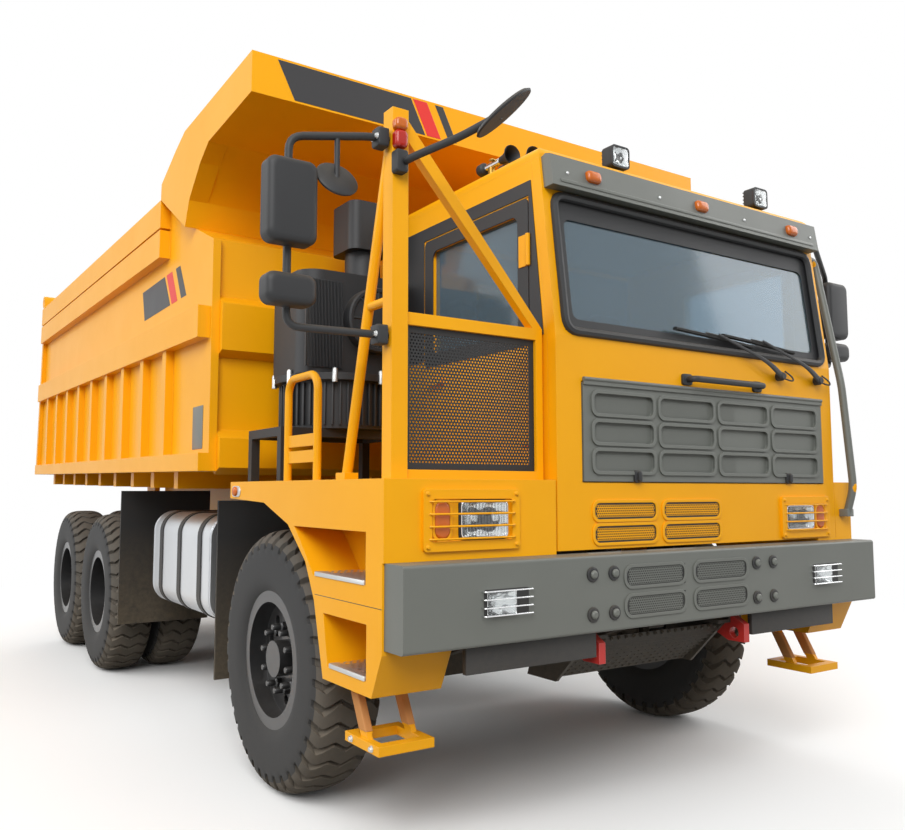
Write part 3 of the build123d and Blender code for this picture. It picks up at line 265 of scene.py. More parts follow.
class Surface(Enum):
    """The truck's finishes, each named for what it is and how it was made."""

    # Two-pack gloss enamel over pressed steel: deep even colour with a mild orange peel
    YELLOW = Finish("yellow_enamel", "yellow_paint", "#F5AC06", "#EBA004", 0.36, coat=0.1, grain_mm=6,
                    dust=0.06, edge_colour="#FFD36A", specular=0.2)
    # Satin enamel on the bumper, visor and hatch: an even grey with a soft sheen
    GREY = Finish("grey_enamel", "grey_paint", "#686B66", "#60635E", 0.46, coat=0.1, grain_mm=4,
                  edge_colour="#9A9C96")
    # Sprayed chassis black, slightly chalky
    BLACK = Finish("chassis_black", "black_paint", "#1A1A1B", "#242322", 0.55, grain_mm=4, dust=0.5,
                   edge_colour="#555555")
    # Stoved gloss black on the wheel discs
    RIM = Finish("rim_gloss_black", "black_paint", "#1B1C1E", "#212224", 0.3, coat=0.35, grain_mm=5,
                 dust=0.14, edge_colour="#6A6C6E", dust_colour="#6B6257")
    # Red enamel on the tow hooks: bright under a thin gloss
    RED = Finish("red_enamel", "tow_red", "#C0201C", "#A81A18", 0.4, coat=0.2)
    # Cured tyre rubber: near black walls and a tread greyed by dry earth
    RUBBER = Finish("tyre_rubber", "rubber", "#222324", "#2B2B2B", 0.7, grain_mm=5, grain_depth_mm=0.3,
                    dust=0.16, edge_colour="#5A554E", dust_colour="#6B6359")
    TREAD = Finish("dusty_tread_rubber", "rubber", "#4E4B46", "#5F5952", 0.85, grain_mm=6, grain_depth_mm=0.6,
                   dust=0.5, fade_mm=180, fade=0.7, edge_colour="#6E6558", dust_colour="#7D705E")
    # Cut rubber sheet: flat black that holds dust
    FLAP = Finish("rubber_sheet", "flap_rubber", "#181818", "#22201E", 0.75, grain_mm=4, grain_depth_mm=0.2,
                  dust=0.6)
    # Black plastic from a spark-eroded mould: a fine even grain
    PLASTIC = Finish("moulded_black_plastic", "black_plastic", "#1C1D1F", "#242527", 0.5, grain_mm=1.6,
                     grain_depth_mm=0.12, dust=0.25, edge_colour="#4A4C4E")
    # Painted iron casting, still rough from the sand
    CAST = Finish("painted_casting", "cast", "#1E1E1F", "#2A2826", 0.6, grain_mm=5, grain_depth_mm=0.5,
                  dust=0.6)
    # Bare metals, machined, plated, rolled or lacquered: fine streaks along the truck
    STEEL = BrushedMetal("machined_steel", "steel", "#B9BABB", "#A9AAAC", 0.28, dust=0.1)
    ZINC = BrushedMetal("zinc_plated_steel", "steel", "#C2C4C4", "#ACAEAC", 0.38, dust=0.25)
    ALUMINIUM = BrushedMetal("brushed_aluminium", "tank_metal", "#D5D8DB", "#C4C8CC", 0.32, dust=0.3)
    BRASS = BrushedMetal("lacquered_brass", "steel", "#C8A045", "#B8903A", 0.3, dust=0.1)
    # Chrome plate and silvered glass: mirrors without grain
    CHROME = Finish("chrome_plate", "steel", "#E8E9EA", "#DCDEE0", 0.06, metallic=1.0, dust=0.02,
                    grain_depth_mm=0.0)
    MIRROR = Finish("mirror_glass", "steel", "#DDE3E6", "#D6DCDF", 0.02, metallic=1.0, dust=0.0,
                    grain_depth_mm=0.0)
    # Foam-backed cab lining: pale grey and quite matt
    LINING = Finish("grey_cab_lining", "black_plastic", "#7E868C", "#767E84", 0.75, grain_mm=2,
                    grain_depth_mm=0.1, dust=0.0)
    # Woven seat cloth: dark, with its threads showing
    CLOTH = WovenCloth("woven_seat_cloth", "seat_cloth", "#26272A", "#1E1F22", 0.85, dust=0.05)
    # Float glass with a blue-grey tint
    GLASS = ClearFinish("tinted_safety_glass", "glass", "#98B2C2", "#93ADBD", 0.02, dust=0.0,
                        grain_depth_mm=0.0, edge=0.0, fade=0.1, transmission=0.8)
    # Moulded lamp lenses, clear or dyed right through
    LENS = ClearFinish("clear_lamp_lens", "lamp_lens", "#F2F4F4", "#E8ECEC", 0.05, dust=0.0, edge=0.0)
    AMBER = ClearFinish("amber_lamp_lens", "lamp_lens", "#F07A12", "#E56A0A", 0.18, dust=0.0, edge=0.0,
                        transmission=0.35)
    RED_LENS = ClearFinish("red_lamp_lens", "lamp_lens", "#D2260F", "#B71D0A", 0.18, dust=0.0, edge=0.0,
                           transmission=0.3)
    # Cast vinyl film: flat colour, almost no grain
    DARK_STRIPE = Finish("dark_vinyl_stripe", "black_paint", "#2B2B2D", "#262628", 0.4, grain_depth_mm=0.02)
    RED_STRIPE = Finish("red_vinyl_stripe", "tow_red", "#DC2A22", "#CF241D", 0.4, grain_depth_mm=0.02)
    # Polyester webbing: tan, with a coarse hand
    TAN = Finish("tan_webbing", "flap_rubber", "#C88A4E", "#B5783E", 0.8, grain_mm=3, grain_depth_mm=0.4)

    @property
    def material(self) -> bpy.types.Material:
        """The finish's material, made once."""
        return bpy.data.materials.get(self.value.name) or self.value.build()

    @property
    def slot(self) -> str:
        """The record's material slot that the finish belongs to."""
        return self.value.slot


# Which finish each of the record's material slots takes
SLOT_FINISH = {
    "yellow_paint": Surface.YELLOW, "grey_paint": Surface.GREY, "black_paint": Surface.BLACK,
    "rubber": Surface.RUBBER, "flap_rubber": Surface.FLAP, "steel": Surface.STEEL,
    "tank_metal": Surface.ALUMINIUM, "black_plastic": Surface.PLASTIC, "glass": Surface.GLASS,
    "lamp_lens": Surface.LENS, "seat_cloth": Surface.CLOTH,
    "cast": Surface.CAST, "tow_red": Surface.RED, "mesh_black": Surface.BLACK,
}


@dataclass(frozen=True)
class Shape:
    """A mesh as whole arrays: its points, its quads and its end faces."""

    points: Array
    quads: Array
    caps: tuple[tuple[int, ...], ...] = ()

    def repeated(self, matrices: Array) -> Shape:
        """Copy the shape once for each 4x4 matrix.

        Args:
            matrices: an array of (copies, 4, 4).

        Returns:
            All the copies as one shape.
        """
        count = len(self.points)
        placed = np.einsum("kij,nj->kni", matrices[:, :3, :3], self.points) + matrices[:, None, :3, 3]
        quads = self.quads[None] + count * np.arange(len(matrices))[:, None, None]
        caps = tuple(tuple(index + count * copy for index in cap)
                     for copy in range(len(matrices)) for cap in self.caps)
        return Shape(placed.reshape(-1, 3), quads.reshape(-1, 4), caps)

    def moved(self, matrix: Array) -> Shape:
        """The shape placed by one 4x4 matrix."""
        return self.repeated(matrix[None])

    def mirrored(self) -> Shape:
        """The shape with its mirror image across the truck."""
        return joined(self, Shape(self.points * (-1, 1, 1), self.quads, self.caps))


def joined(*shapes: Shape) -> Shape:
    """Put several shapes into one."""
    starts = np.cumsum([0] + [len(shape.points) for shape in shapes])
    caps = tuple(tuple(index + int(start) for index in cap)
                 for shape, start in zip(shapes, starts) for cap in shape.caps)
    return Shape(np.concatenate([shape.points for shape in shapes]),
                 np.concatenate([shape.quads + start for shape, start in zip(shapes, starts)]), caps)


def lattice(grid: Array, ring: bool = True, loop: bool = False, ends: bool = True) -> Shape:
    """Skin a grid of points with quads.

    Args:
        grid: points as (rows, columns, 3).
        ring: whether each row closes on itself.
        loop: whether the last row joins the first.
        ends: whether the first and last rows are filled.

    Returns:
        The skinned shape.
    """
    rows, columns = grid.shape[:2]
    row = np.arange(rows if loop else rows - 1)[:, None]
    column = np.arange(columns if ring else columns - 1)[None, :]
    onward, beside = (row + 1) % rows, (column + 1) % columns
    here, there = row * columns, onward * columns
    corners = (here + column, here + beside, there + beside, there + column)
    quads = np.stack(np.broadcast_arrays(*corners), -1).reshape(-1, 4)
    last = (rows - 1) * columns
    caps = (tuple(range(columns)), tuple(range(last, last + columns))) if ends and not loop else ()
    return Shape(grid.reshape(-1, 3), quads, caps)


def unit(vectors: Array) -> Array:
    """Vectors brought to length 1."""
    return vectors / np.linalg.norm(vectors, axis=-1, keepdims=True)


def circle(count: int, turn: float = 0.0) -> Array:
    """Points evenly round a unit circle, as (cosine, sine)."""
    angle = np.arange(count) * 2 * np.pi / count + turn
    return np.stack((np.cos(angle), np.sin(angle)), -1)


def place(origin: Point, out: Point = (0, 0, 1), up: Point = (0, 1, 0)) -> Array:
    """Matrix that sets a flat shape on a face: its Z along out, its Y along up."""
    z, y = unit(np.array(out, float)), np.array(up, float)
    x = unit(np.cross(y, z))
    matrix = np.eye(4)
    matrix[:3, 0], matrix[:3, 1], matrix[:3, 2], matrix[:3, 3] = x, np.cross(z, x), z, origin
    return matrix


def places(origins: Array, out: Point = (0, 0, 1), up: Point = (0, 1, 0)) -> Array:
    """One placing matrix for each origin, all facing the same way."""
    matrices = np.repeat(place((0, 0, 0), out, up)[None], len(origins), 0)
    matrices[:, :3, 3] = origins
    return matrices


def turns(count: int) -> Array:
    """Matrices that turn a shape about Z by even steps of a full circle."""
    cosine, sine = circle(count).T
    matrices = np.repeat(np.eye(4)[None], count, 0)
    matrices[:, 0, 0], matrices[:, 0, 1] = cosine, -sine
    matrices[:, 1, 0], matrices[:, 1, 1] = sine, cosine
    return matrices


def bent(points: list[Point], radius: float, steps: int = 6) -> Array:
    """Round a line's corners: each becomes a quadratic curve between points set back along both its runs.

    Args:
        points: the line's corners.
        radius: how far back along each run a bend begins, at most 0.45 of the run.
        steps: points to a bend.

    Returns:
        The rounded line.
    """
    line = np.array(points, float)
    runs = np.diff(line, axis=0)
    lengths = np.linalg.norm(runs, axis=1, keepdims=True)
    back = np.minimum(radius, 0.45 * lengths) / lengths * runs
    corner, start, stop = line[1:-1], line[1:-1] - back[:-1], line[1:-1] + back[1:]
    share = np.linspace(0, 1, steps)[None, :, None]
    rest = 1 - share
    curve = rest ** 2 * start[:, None] + 2 * share * rest * corner[:, None] + share ** 2 * stop[:, None]
    return np.concatenate((line[:1], curve.reshape(-1, 3), line[-1:]))


def tube(line: Array, radius: float | Array, sides: int = 12, flat: float = 1.0,
         closed: bool = False) -> Shape:
    """Carry a round or flattened section along a line.

    Args:
        line: points as (n, 3).
        radius: the section's radius, one value or one for each point.
        sides: points round the section.
        flat: the section's second half-width as a share of the first.
        closed: whether the line is a loop.

    Returns:
        The tube, with filled ends unless it is a loop.
    """
    along = unit(np.roll(line, -1, 0) - np.roll(line, 1, 0) if closed else np.gradient(line, axis=0))
    guides = unit(np.array([(1, 0, 0), (0, 1, 0), (0, 0, 1), (1, 1, 1), (1, -1, 0.5)], float))
    guide = guides[np.abs(along @ guides.T).max(0).argmin()]
    across = unit(np.cross(along, guide))
    over = np.cross(across, along)
    ring = circle(sides)
    reach = np.broadcast_to(np.asarray(radius, float), len(line))[:, None, None]
    wide, tall = ring[None, :, :1] * across[:, None], flat * ring[None, :, 1:] * over[:, None]
    return lattice(line[:, None] + reach * (wide + tall), loop=closed)


def turned(profile: list[Span], sides: int) -> Shape:
    """Spin a profile of (radius, height) points about Z."""
    outline = np.array(profile, float)
    heights = np.broadcast_to(outline[:, None, 1:], (len(outline), sides, 1))
    return lattice(np.concatenate((outline[:, None, :1] * circle(sides)[None], heights), -1))


def rounded(width: float, height: float, radius: float, steps: int = 5) -> Array:
    """Outline of a rectangle with round corners: a quarter circle about each corner's centre."""
    turn = np.linspace(0, np.pi / 2, steps)[None, :] + (np.arange(4) * np.pi / 2)[:, None]
    signs = np.array([(1, 1), (-1, 1), (-1, -1), (1, -1)], float)
    centre = signs * (width / 2 - radius, height / 2 - radius)
    return (centre[:, None] + radius * np.stack((np.cos(turn), np.sin(turn)), -1)).reshape(-1, 2)


def slab(outline: Array, depth: float, edge: float = 0.0, steps: int = 3) -> Shape:
    """A plate of an outline whose front edge is rounded off.

    Each ring is the outline drawn in towards its middle by 1 - cos and raised by sin of the edge's turn.

    Args:
        outline: points as (n, 2).
        depth: the plate's thickness along Z.
        edge: radius of the front edge.
        steps: rings round that edge.

    Returns:
        The plate, its back at Z = 0.
    """
    middle = (outline.max(0) + outline.min(0)) / 2
    half = (outline.max(0) - outline.min(0)) / 2
    turn = np.linspace(0, np.pi / 2, steps) if edge else np.zeros(1)
    drawn = 1 - edge * (1 - np.cos(turn))[:, None] / half[None]
    height = np.concatenate(([0.0], depth - edge + edge * np.sin(turn)))
    scale = np.concatenate((np.ones((1, 2)), drawn))
    flat = middle + scale[:, None] * (outline - middle)[None]
    heights = np.broadcast_to(height[:, None, None], flat.shape[:2] + (1,))
    return lattice(np.concatenate((flat, heights), -1))


def frame_ring(outline: Array, inner: Array, depth: float) -> Shape:
    """A flat frame between two outlines of as many points, with a front, a back and both edges."""
    levels = [(outline, 0.0), (outline, depth), (inner, depth), (inner, 0.0)]
    grid = np.stack([np.column_stack((line, np.full(len(line), height))) for line, height in levels])
    return lattice(grid, loop=True)


def perforated(width: float, height: float, pitch: float, hole: float, sides: int = 12) -> Shape:
    """A sheet of staggered round holes.

    Each cell is a hexagon with a ring of quads between its edge and its hole, and the cells fill the
    rectangle.

    Args:
        width: the sheet's reach along X.
        height: its reach along Y.
        pitch: distance between holes.
        hole: a hole's radius.
        sides: points round a hole, a multiple of 6.

    Returns:
        The sheet at Z = 0.
    """
    ring = circle(sides, np.pi / 6)
    turn = np.arange(sides) * 2 * np.pi / sides
    edge = ring * (pitch / 2 / np.cos(turn % (np.pi / 3) - np.pi / 6))[:, None]
    cell = np.stack([np.column_stack((line, np.zeros(sides))) for line in (edge, ring * hole)])
    rise = pitch * math.sqrt(3) / 2
    columns, rows = int(width / pitch - 0.5), int((height - pitch) / rise) + 1
    row, column = np.meshgrid(np.arange(rows), np.arange(columns), indexing="ij")
    x = (column - (columns - 1) / 2 + (row % 2 - 0.5) / 2) * pitch
    y = (row - (rows - 1) / 2) * rise
    origins = np.stack((x, y, np.zeros_like(x)), -1).reshape(-1, 3)
    return lattice(cell, ends=False).repeated(places(origins))


def box_shape(low: Point, high: Point, edge: float) -> Shape:
    """A box between two corners with its upper edges rounded off."""
    size = np.subtract(high, low)
    outline = rounded(size[0], size[1], min(edge, size[0] / 3, size[1] / 3), 3)
    foot = ((low[0] + high[0]) / 2, (low[1] + high[1]) / 2, low[2])
    return slab(outline, size[2], min(edge, size[2] / 3)).moved(place(foot))


def hex_bolt(across: float) -> Shape:
    """A hexagon bolt head on a washer, facing Z."""
    half = across / 2 / math.cos(math.pi / 6)
    head = turned([(half, 0), (half, 0.55 * across), (half * 0.86, 0.66 * across)], 6)
    base = across * 0.72
    return joined(head, turned([(base, 0), (base, 0.12 * across), (base * 0.92, 0.17 * across)], 20))


def put(shape: Shape, name: str, surface: Surface, body: str = CHASSIS,
        crease_deg: float = 38.0) -> bpy.types.Object:
    """Make a piece of a shape, dress it and let it ride on a body.

    Args:
        shape: the finished shape, in the truck's frame.
        name: the piece's name.
        surface: its finish.
        body: the body that carries it.
        crease_deg: edges sharper than this stay creased.

    Returns:
        The new object.
    """
    mesh = bpy.data.meshes.new(name)
    mesh.from_pydata(shape.points.tolist(), [], shape.quads.tolist() + [list(cap) for cap in shape.caps])
    work = bmesh.new()
    work.from_mesh(mesh)
    bmesh.ops.recalc_face_normals(work, faces=work.faces)
    work.to_mesh(mesh)
    work.free()
    mesh.polygons.foreach_set("use_smooth", np.ones(len(mesh.polygons), bool))
    mesh.set_sharp_from_angle(angle=math.radians(crease_deg))
    mesh.materials.append(surface.material)
    piece = bpy.data.objects.new(name, mesh)
    bpy.context.scene.collection.objects.link(piece)
    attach(piece, body)
    surface.slot
    LOG.info("%s: %d faces on %s", name, len(mesh.polygons), body)
    return piece


@dataclass
class Datum:
    """Where the truck's stations begin, read from the frame."""

    front: float

    @classmethod
    def read(cls) -> Datum:
        """Take the bumper's front face as station 0."""
        return cls(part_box("bumper")[0][1])

    def at(self, x: float, station: float, height: float) -> Point:
        """A point given by its reach across, its station and its height."""
        return (x, self.front + station, height)

    def line(self, points: list[Point]) -> list[Point]:
        """Several such points."""
        return [self.at(*point) for point in points]


FORWARD = (0, -1, 0)
REARWARD = (0, 1, 0)
UP = (0, 0, 1)
SIDES = (("left", 1), ("right", -1))


@dataclass
class Stage:
    """Pale floor, soft lights and the camera at the photograph's viewing angle."""

    eye: Point = (-3.368, -7.040, 1.583)
    yaw_deg: float = 33.26
    pitch_deg: float = 5.12
    focal_px: float = 859.1
    image_px: tuple[int, int] = (905, 830)
    axis_px: tuple[float, float] = (440.0, 413.5)
    sensor_mm: float = 36.0
    floor_half: float = 400.0
    fade_reach: Span = (4.5, 9.0)
    ambient: float = 0.55
    aim: Point = (0.0, 0.0, 1.6)
    lights: tuple[tuple[str, Point, float, float], ...] = (
        ("key_light", (-9.0, -13.0, 11.0), 9.0, 2000.0),
        ("side_light", (-13.0, 3.0, 8.0), 9.0, 800.0),
        ("far_light", (10.0, -6.0, 8.0), 8.0, 500.0),
        ("back_light", (4.0, 14.0, 10.0), 10.0, 900.0),
    )

    def build(self) -> None:
        """Make the camera, the lights and the floor."""
        self.camera()
        self.world()
        self.floor()
        for light in self.lights:
            self.lamp(*light)
        bpy.context.scene.view_settings.view_transform = "Standard"

    def camera(self) -> None:
        """Point the camera as the photograph's was, its image offset as a lens shift."""
        data = bpy.data.cameras.new("photo_camera")
        width, height = self.image_px
        data.sensor_width = self.sensor_mm
        data.lens = self.focal_px * self.sensor_mm / width
        data.shift_x = (width / 2 - self.axis_px[0]) / width
        data.shift_y = (self.axis_px[1] - height / 2) / width
        camera = bpy.data.objects.new("photo_camera", data)
        camera.location = self.eye
        camera.rotation_euler = (math.radians(90 + self.pitch_deg), 0, math.radians(-self.yaw_deg))
        bpy.context.scene.collection.objects.link(camera)
        bpy.context.scene.camera = camera

    def world(self) -> None:
        """Light evenly from all round, on a white backdrop that metal and glass reflect too."""
        world = bpy.data.worlds.new("studio")
        bpy.context.scene.world = world
        world.use_nodes = True
        tree = world.node_tree
        tree.nodes.clear()
        ray = add_node(tree, "ShaderNodeLightPath")
        seen = add_node(tree, "ShaderNodeMath", {
            0: ray.outputs["Is Camera Ray"], 1: ray.outputs["Is Glossy Ray"]}, operation="MAXIMUM")
        shown = add_node(tree, "ShaderNodeMath", {
            0: seen.outputs["Value"], 1: ray.outputs["Is Transmission Ray"]}, operation="MAXIMUM")
        strength = add_node(tree, "ShaderNodeMapRange", {
            "Value": shown.outputs["Value"], "To Min": self.ambient, "To Max": 1.0})
        backdrop = add_node(tree, "ShaderNodeBackground", {
            "Color": (1.0, 1.0, 1.0, 1.0), "Strength": strength.outputs["Result"]})
        add_node(tree, "ShaderNodeOutputWorld", {"Surface": backdrop.outputs["Background"]})

    def floor(self) -> None:
        """Lay a wide pale floor."""
        half = self.floor_half
        mesh = bpy.data.meshes.new("floor")
        corners = [(-half, -half, 0), (half, -half, 0), (half, half, 0), (-half, half, 0)]
        mesh.from_pydata(corners, [], [(0, 1, 2, 3)])
        floor = bpy.data.objects.new("floor", mesh)
        mesh.materials.append(self.floor_material())
        bpy.context.scene.collection.objects.link(floor)

    def floor_material(self) -> bpy.types.Material:
        """Pale matt floor that takes the truck's shadow, throws little light up and whitens further out."""
        material = bpy.data.materials.new("pale_floor")
        material.use_nodes = True
        tree = material.node_tree
        tree.nodes.clear()
        place = add_node(tree, "ShaderNodeTexCoord").outputs["Object"]
        distance = add_node(tree, "ShaderNodeVectorMath", {0: place}, operation="LENGTH").outputs["Value"]
        ray = add_node(tree, "ShaderNodeLightPath")
        seen = add_node(tree, "ShaderNodeMath", {
            0: ray.outputs["Is Camera Ray"], 1: ray.outputs["Is Glossy Ray"]},
            operation="MAXIMUM").outputs["Value"]
        share = add_node(tree, "ShaderNodeMapRange", {
            "Value": distance, "From Min": self.fade_reach[0], "From Max": self.fade_reach[1]},
            interpolation_type="SMOOTHSTEP").outputs["Result"]
        white = add_node(tree, "ShaderNodeMath", {0: share, 1: seen}, operation="MULTIPLY").outputs["Value"]
        tone = add_node(tree, "ShaderNodeMix", {
            0: ray.outputs["Is Diffuse Ray"], 6: linear("#FAFAF9"), 7: linear("#7E7A72")},
            data_type="RGBA").outputs[2]
        matt = add_node(tree, "ShaderNodeBsdfDiffuse", {"Color": tone}).outputs["BSDF"]
        glow = add_node(tree, "ShaderNodeEmission", {
            "Color": (1.0, 1.0, 1.0, 1.0), "Strength": 1.0}).outputs["Emission"]
        surface = add_node(tree, "ShaderNodeMixShader", {0: white, 1: matt, 2: glow}).outputs["Shader"]
        add_node(tree, "ShaderNodeOutputMaterial", {"Surface": surface})
        return material

    def lamp(self, name: str, place: Point, side: float, power: float) -> None:
        """Hang a large soft lamp that faces the truck's middle."""
        data = bpy.data.lights.new(name, "AREA")
        data.size = side
        data.energy = power
        lamp = bpy.data.objects.new(name, data)
        lamp.location = place
        away = np.subtract(place, self.aim)
        flat = math.hypot(away[0], away[1])
        lamp.rotation_euler = (math.atan2(flat, away[2]), 0, math.atan2(away[0], -away[1]))
        bpy.context.scene.collection.objects.link(lamp)


@dataclass
class Wheels:
    """Tyres with block tread, and the hubs' studs and nuts."""

    radius: float = 0.685
    width: float = 0.375
    bead: float = 0.344
    bead_tuck: float = 0.012
    fullness: float = 3.4
    section_deg: tuple[float, float, int] = (-58, 238, 61)
    lugs: int = 38
    lug_shares: tuple[float, ...] = (0.0, 0.13, 0.18, 0.56, 0.94)
    in_groove: tuple[float, ...] = (1, 1, 0, 0, 0)
    at_wall: tuple[float, ...] = (0, 1, 1, 0, 0)
    groove: float = 0.03
    groove_swell: float = 0.35
    groove_pinch: float = 0.06
    groove_end: float = 0.105
    groove_run_out: float = 0.05
    zigzag: float = 0.42
    zigzag_rate: float = 2.6
    shoulder_gap: float = 0.16
    shoulder: Span = (0.22, 0.38)
    tread_height: float = 0.07
    stud_circle: float = 0.165
    studs: int = 10
    first_stud: float = 0.2
    front_disc: float = 0.062
    twin_disc: float = 0.022

    def fuller(self, wave: Array) -> Array:
        """A sine or cosine raised to the superellipse's power, its sign kept."""
        return np.sign(wave) * np.abs(wave) ** (2 / self.fullness)

    def tyre(self) -> tuple[Shape, Shape]:
        """Shape one tyre about its own centre, its axle along X.

        The section is a superellipse between the bead and the tread. Round the wheel each lug has a groove,
        steep walls and a flat top, and the grid's columns lean in a zigzag across the tread so that the
        grooves do. The grooves widen towards the shoulders and fade out down them.

        Returns:
            The walls and the tread band.
        """
        section = np.radians(np.linspace(*self.section_deg))
        half_height = (self.radius - self.bead) / 2 + self.bead_tuck
        across = self.width / 2 * self.fuller(np.cos(section))
        height = self.radius - half_height + half_height * self.fuller(np.sin(section))
        lug = 2 * np.pi / self.lugs
        turn = ((np.arange(self.lugs)[:, None] + np.array(self.lug_shares)) * lug).reshape(-1, 1)
        sunk, wall = (np.tile(rows, self.lugs)[:, None] for rows in (self.in_groove, self.at_wall))
        side = np.abs(across) / self.width
        inner, outer = self.shoulder
        outward = np.clip((side - inner) / (outer - inner), 0, 1)
        fade = np.clip((height - self.radius + self.groove_end) / self.groove_run_out, 0, 1)
        lean = self.zigzag * lug * (2 * np.abs((across / self.width * self.zigzag_rate) % 1 - 0.5) - 0.5)
        angle = turn + self.shoulder_gap * lug * wall * outward + lean * fade
        reach = height - self.groove * sunk * fade * (1 + self.groove_swell * np.clip(side * 4 - 1, 0, 1))
        squeeze = 1 - self.groove_pinch * sunk * fade * (side > 0.4)
        grid = np.stack((across * squeeze, reach * np.cos(angle), reach * np.sin(angle)), -1)
        shell = lattice(grid, loop=True)
        on_tread = height[shell.quads[:, 0] % len(section)] > self.radius - self.tread_height
        return Shape(shell.points, shell.quads[~on_tread]), Shape(shell.points, shell.quads[on_tread])

    def build(self) -> None:
        """Make every wheel."""
        walls, tread = self.tyre()
        for axle, twin in (("front", ""), ("mid", "s"), ("rear", "s")):
            for side, outward in SIDES:
                node, body = f"{axle}_tyre{twin}_{side}", f"wheel_{axle}_{side}"
                low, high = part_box(node)
                y, z = (low[1] + high[1]) / 2, (low[2] + high[2]) / 2
                ends = np.array((low[0] + self.width / 2, high[0] - self.width / 2))[:2 if twin else 1]
                matrices = places([(x, y, z) for x in ends])
                rubber = put(walls.repeated(matrices), f"tyre_walls_{axle}_{side}", Surface.RUBBER, body)
                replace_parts(rubber, node)
                put(tread.repeated(matrices), f"tyre_tread_{axle}_{side}", Surface.TREAD, body, 25)
                rim = np.array(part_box(f"{axle}_rim{twin}_{side}")).mean(0)
                disc = self.twin_disc if twin else self.front_disc
                studs = self.hub(rim + (outward * disc, 0, 0), outward)
                put(studs, f"wheel_studs_{axle}_{side}", Surface.RIM, body)

    def hub(self, face: Array, outward: int) -> Shape:
        """Ring a hub with nuts on long studs.

        Args:
            face: the middle of the wheel disc's outer face.
            outward: 1 on the truck's left, -1 on its right.

        Returns:
            The studs and nuts.
        """
        stud = turned([(0.021, 0), (0.021, 0.03), (0.017, 0.034), (0.017, 0.075), (0.014, 0.08)], 12)
        nut = turned([(0.027, 0.0), (0.027, 0.026), (0.022, 0.03)], 6)
        ring = circle(self.studs, self.first_stud) * self.stud_circle
        spots = np.column_stack((np.zeros(self.studs), ring)) + face
        return joined(stud, nut).repeated(places(spots, (outward, 0, 0), UP))


@dataclass(frozen=True)
class PressedSlot:
    """A rounded opening in a panel: a raised lip, a dark floor that paints the shade inside the opening, and
    a perforated sheet over it.
    """

    height: float
    corner: float
    lip_corner: float
    lip_rise: float
    floor_rise: float
    sheet_rise: float
    sheet_inset: Span
    pitch: float
    hole: float
    lip_width: float = 0.015

    def parts(self, width: float) -> tuple[Shape, Shape, Shape]:
        """Shape a slot about its own centre, facing Z.

        Args:
            width: the opening's width.

        Returns:
            The lip, the painted-shade floor and the sheet.
        """
        outline = rounded(width, self.height, self.corner, 6)
        outer = rounded(width + 2 * self.lip_width, self.height + 2 * self.lip_width, self.lip_corner, 6)
        inset_x, inset_z = self.sheet_inset
        sheet = perforated(width - inset_x, self.height - inset_z, self.pitch, self.hole, 6)
        return (frame_ring(outer, outline, self.lip_rise), slab(outline, self.floor_rise),
                sheet.moved(place((0, 0, self.sheet_rise))))

    def rows(self, datum: Datum, station: float, spans: tuple[Span, ...], heights: Span) -> list[Shape]:
        """Lay a slot over each span, at each height of a panel that faces forward.

        Args:
            datum: where the stations begin.
            station: the panel's face.
            spans: each slot's right and left ends.
            heights: each row's middle.

        Returns:
            All the lips, all the painted-shade floors and all the sheets.
        """
        slots = [[part.moved(place(datum.at((low + high) / 2, station, z), FORWARD, UP))
                  for part in self.parts(high - low)] for low, high in spans for z in heights]
        return [joined(*parts) for parts in zip(*slots)]


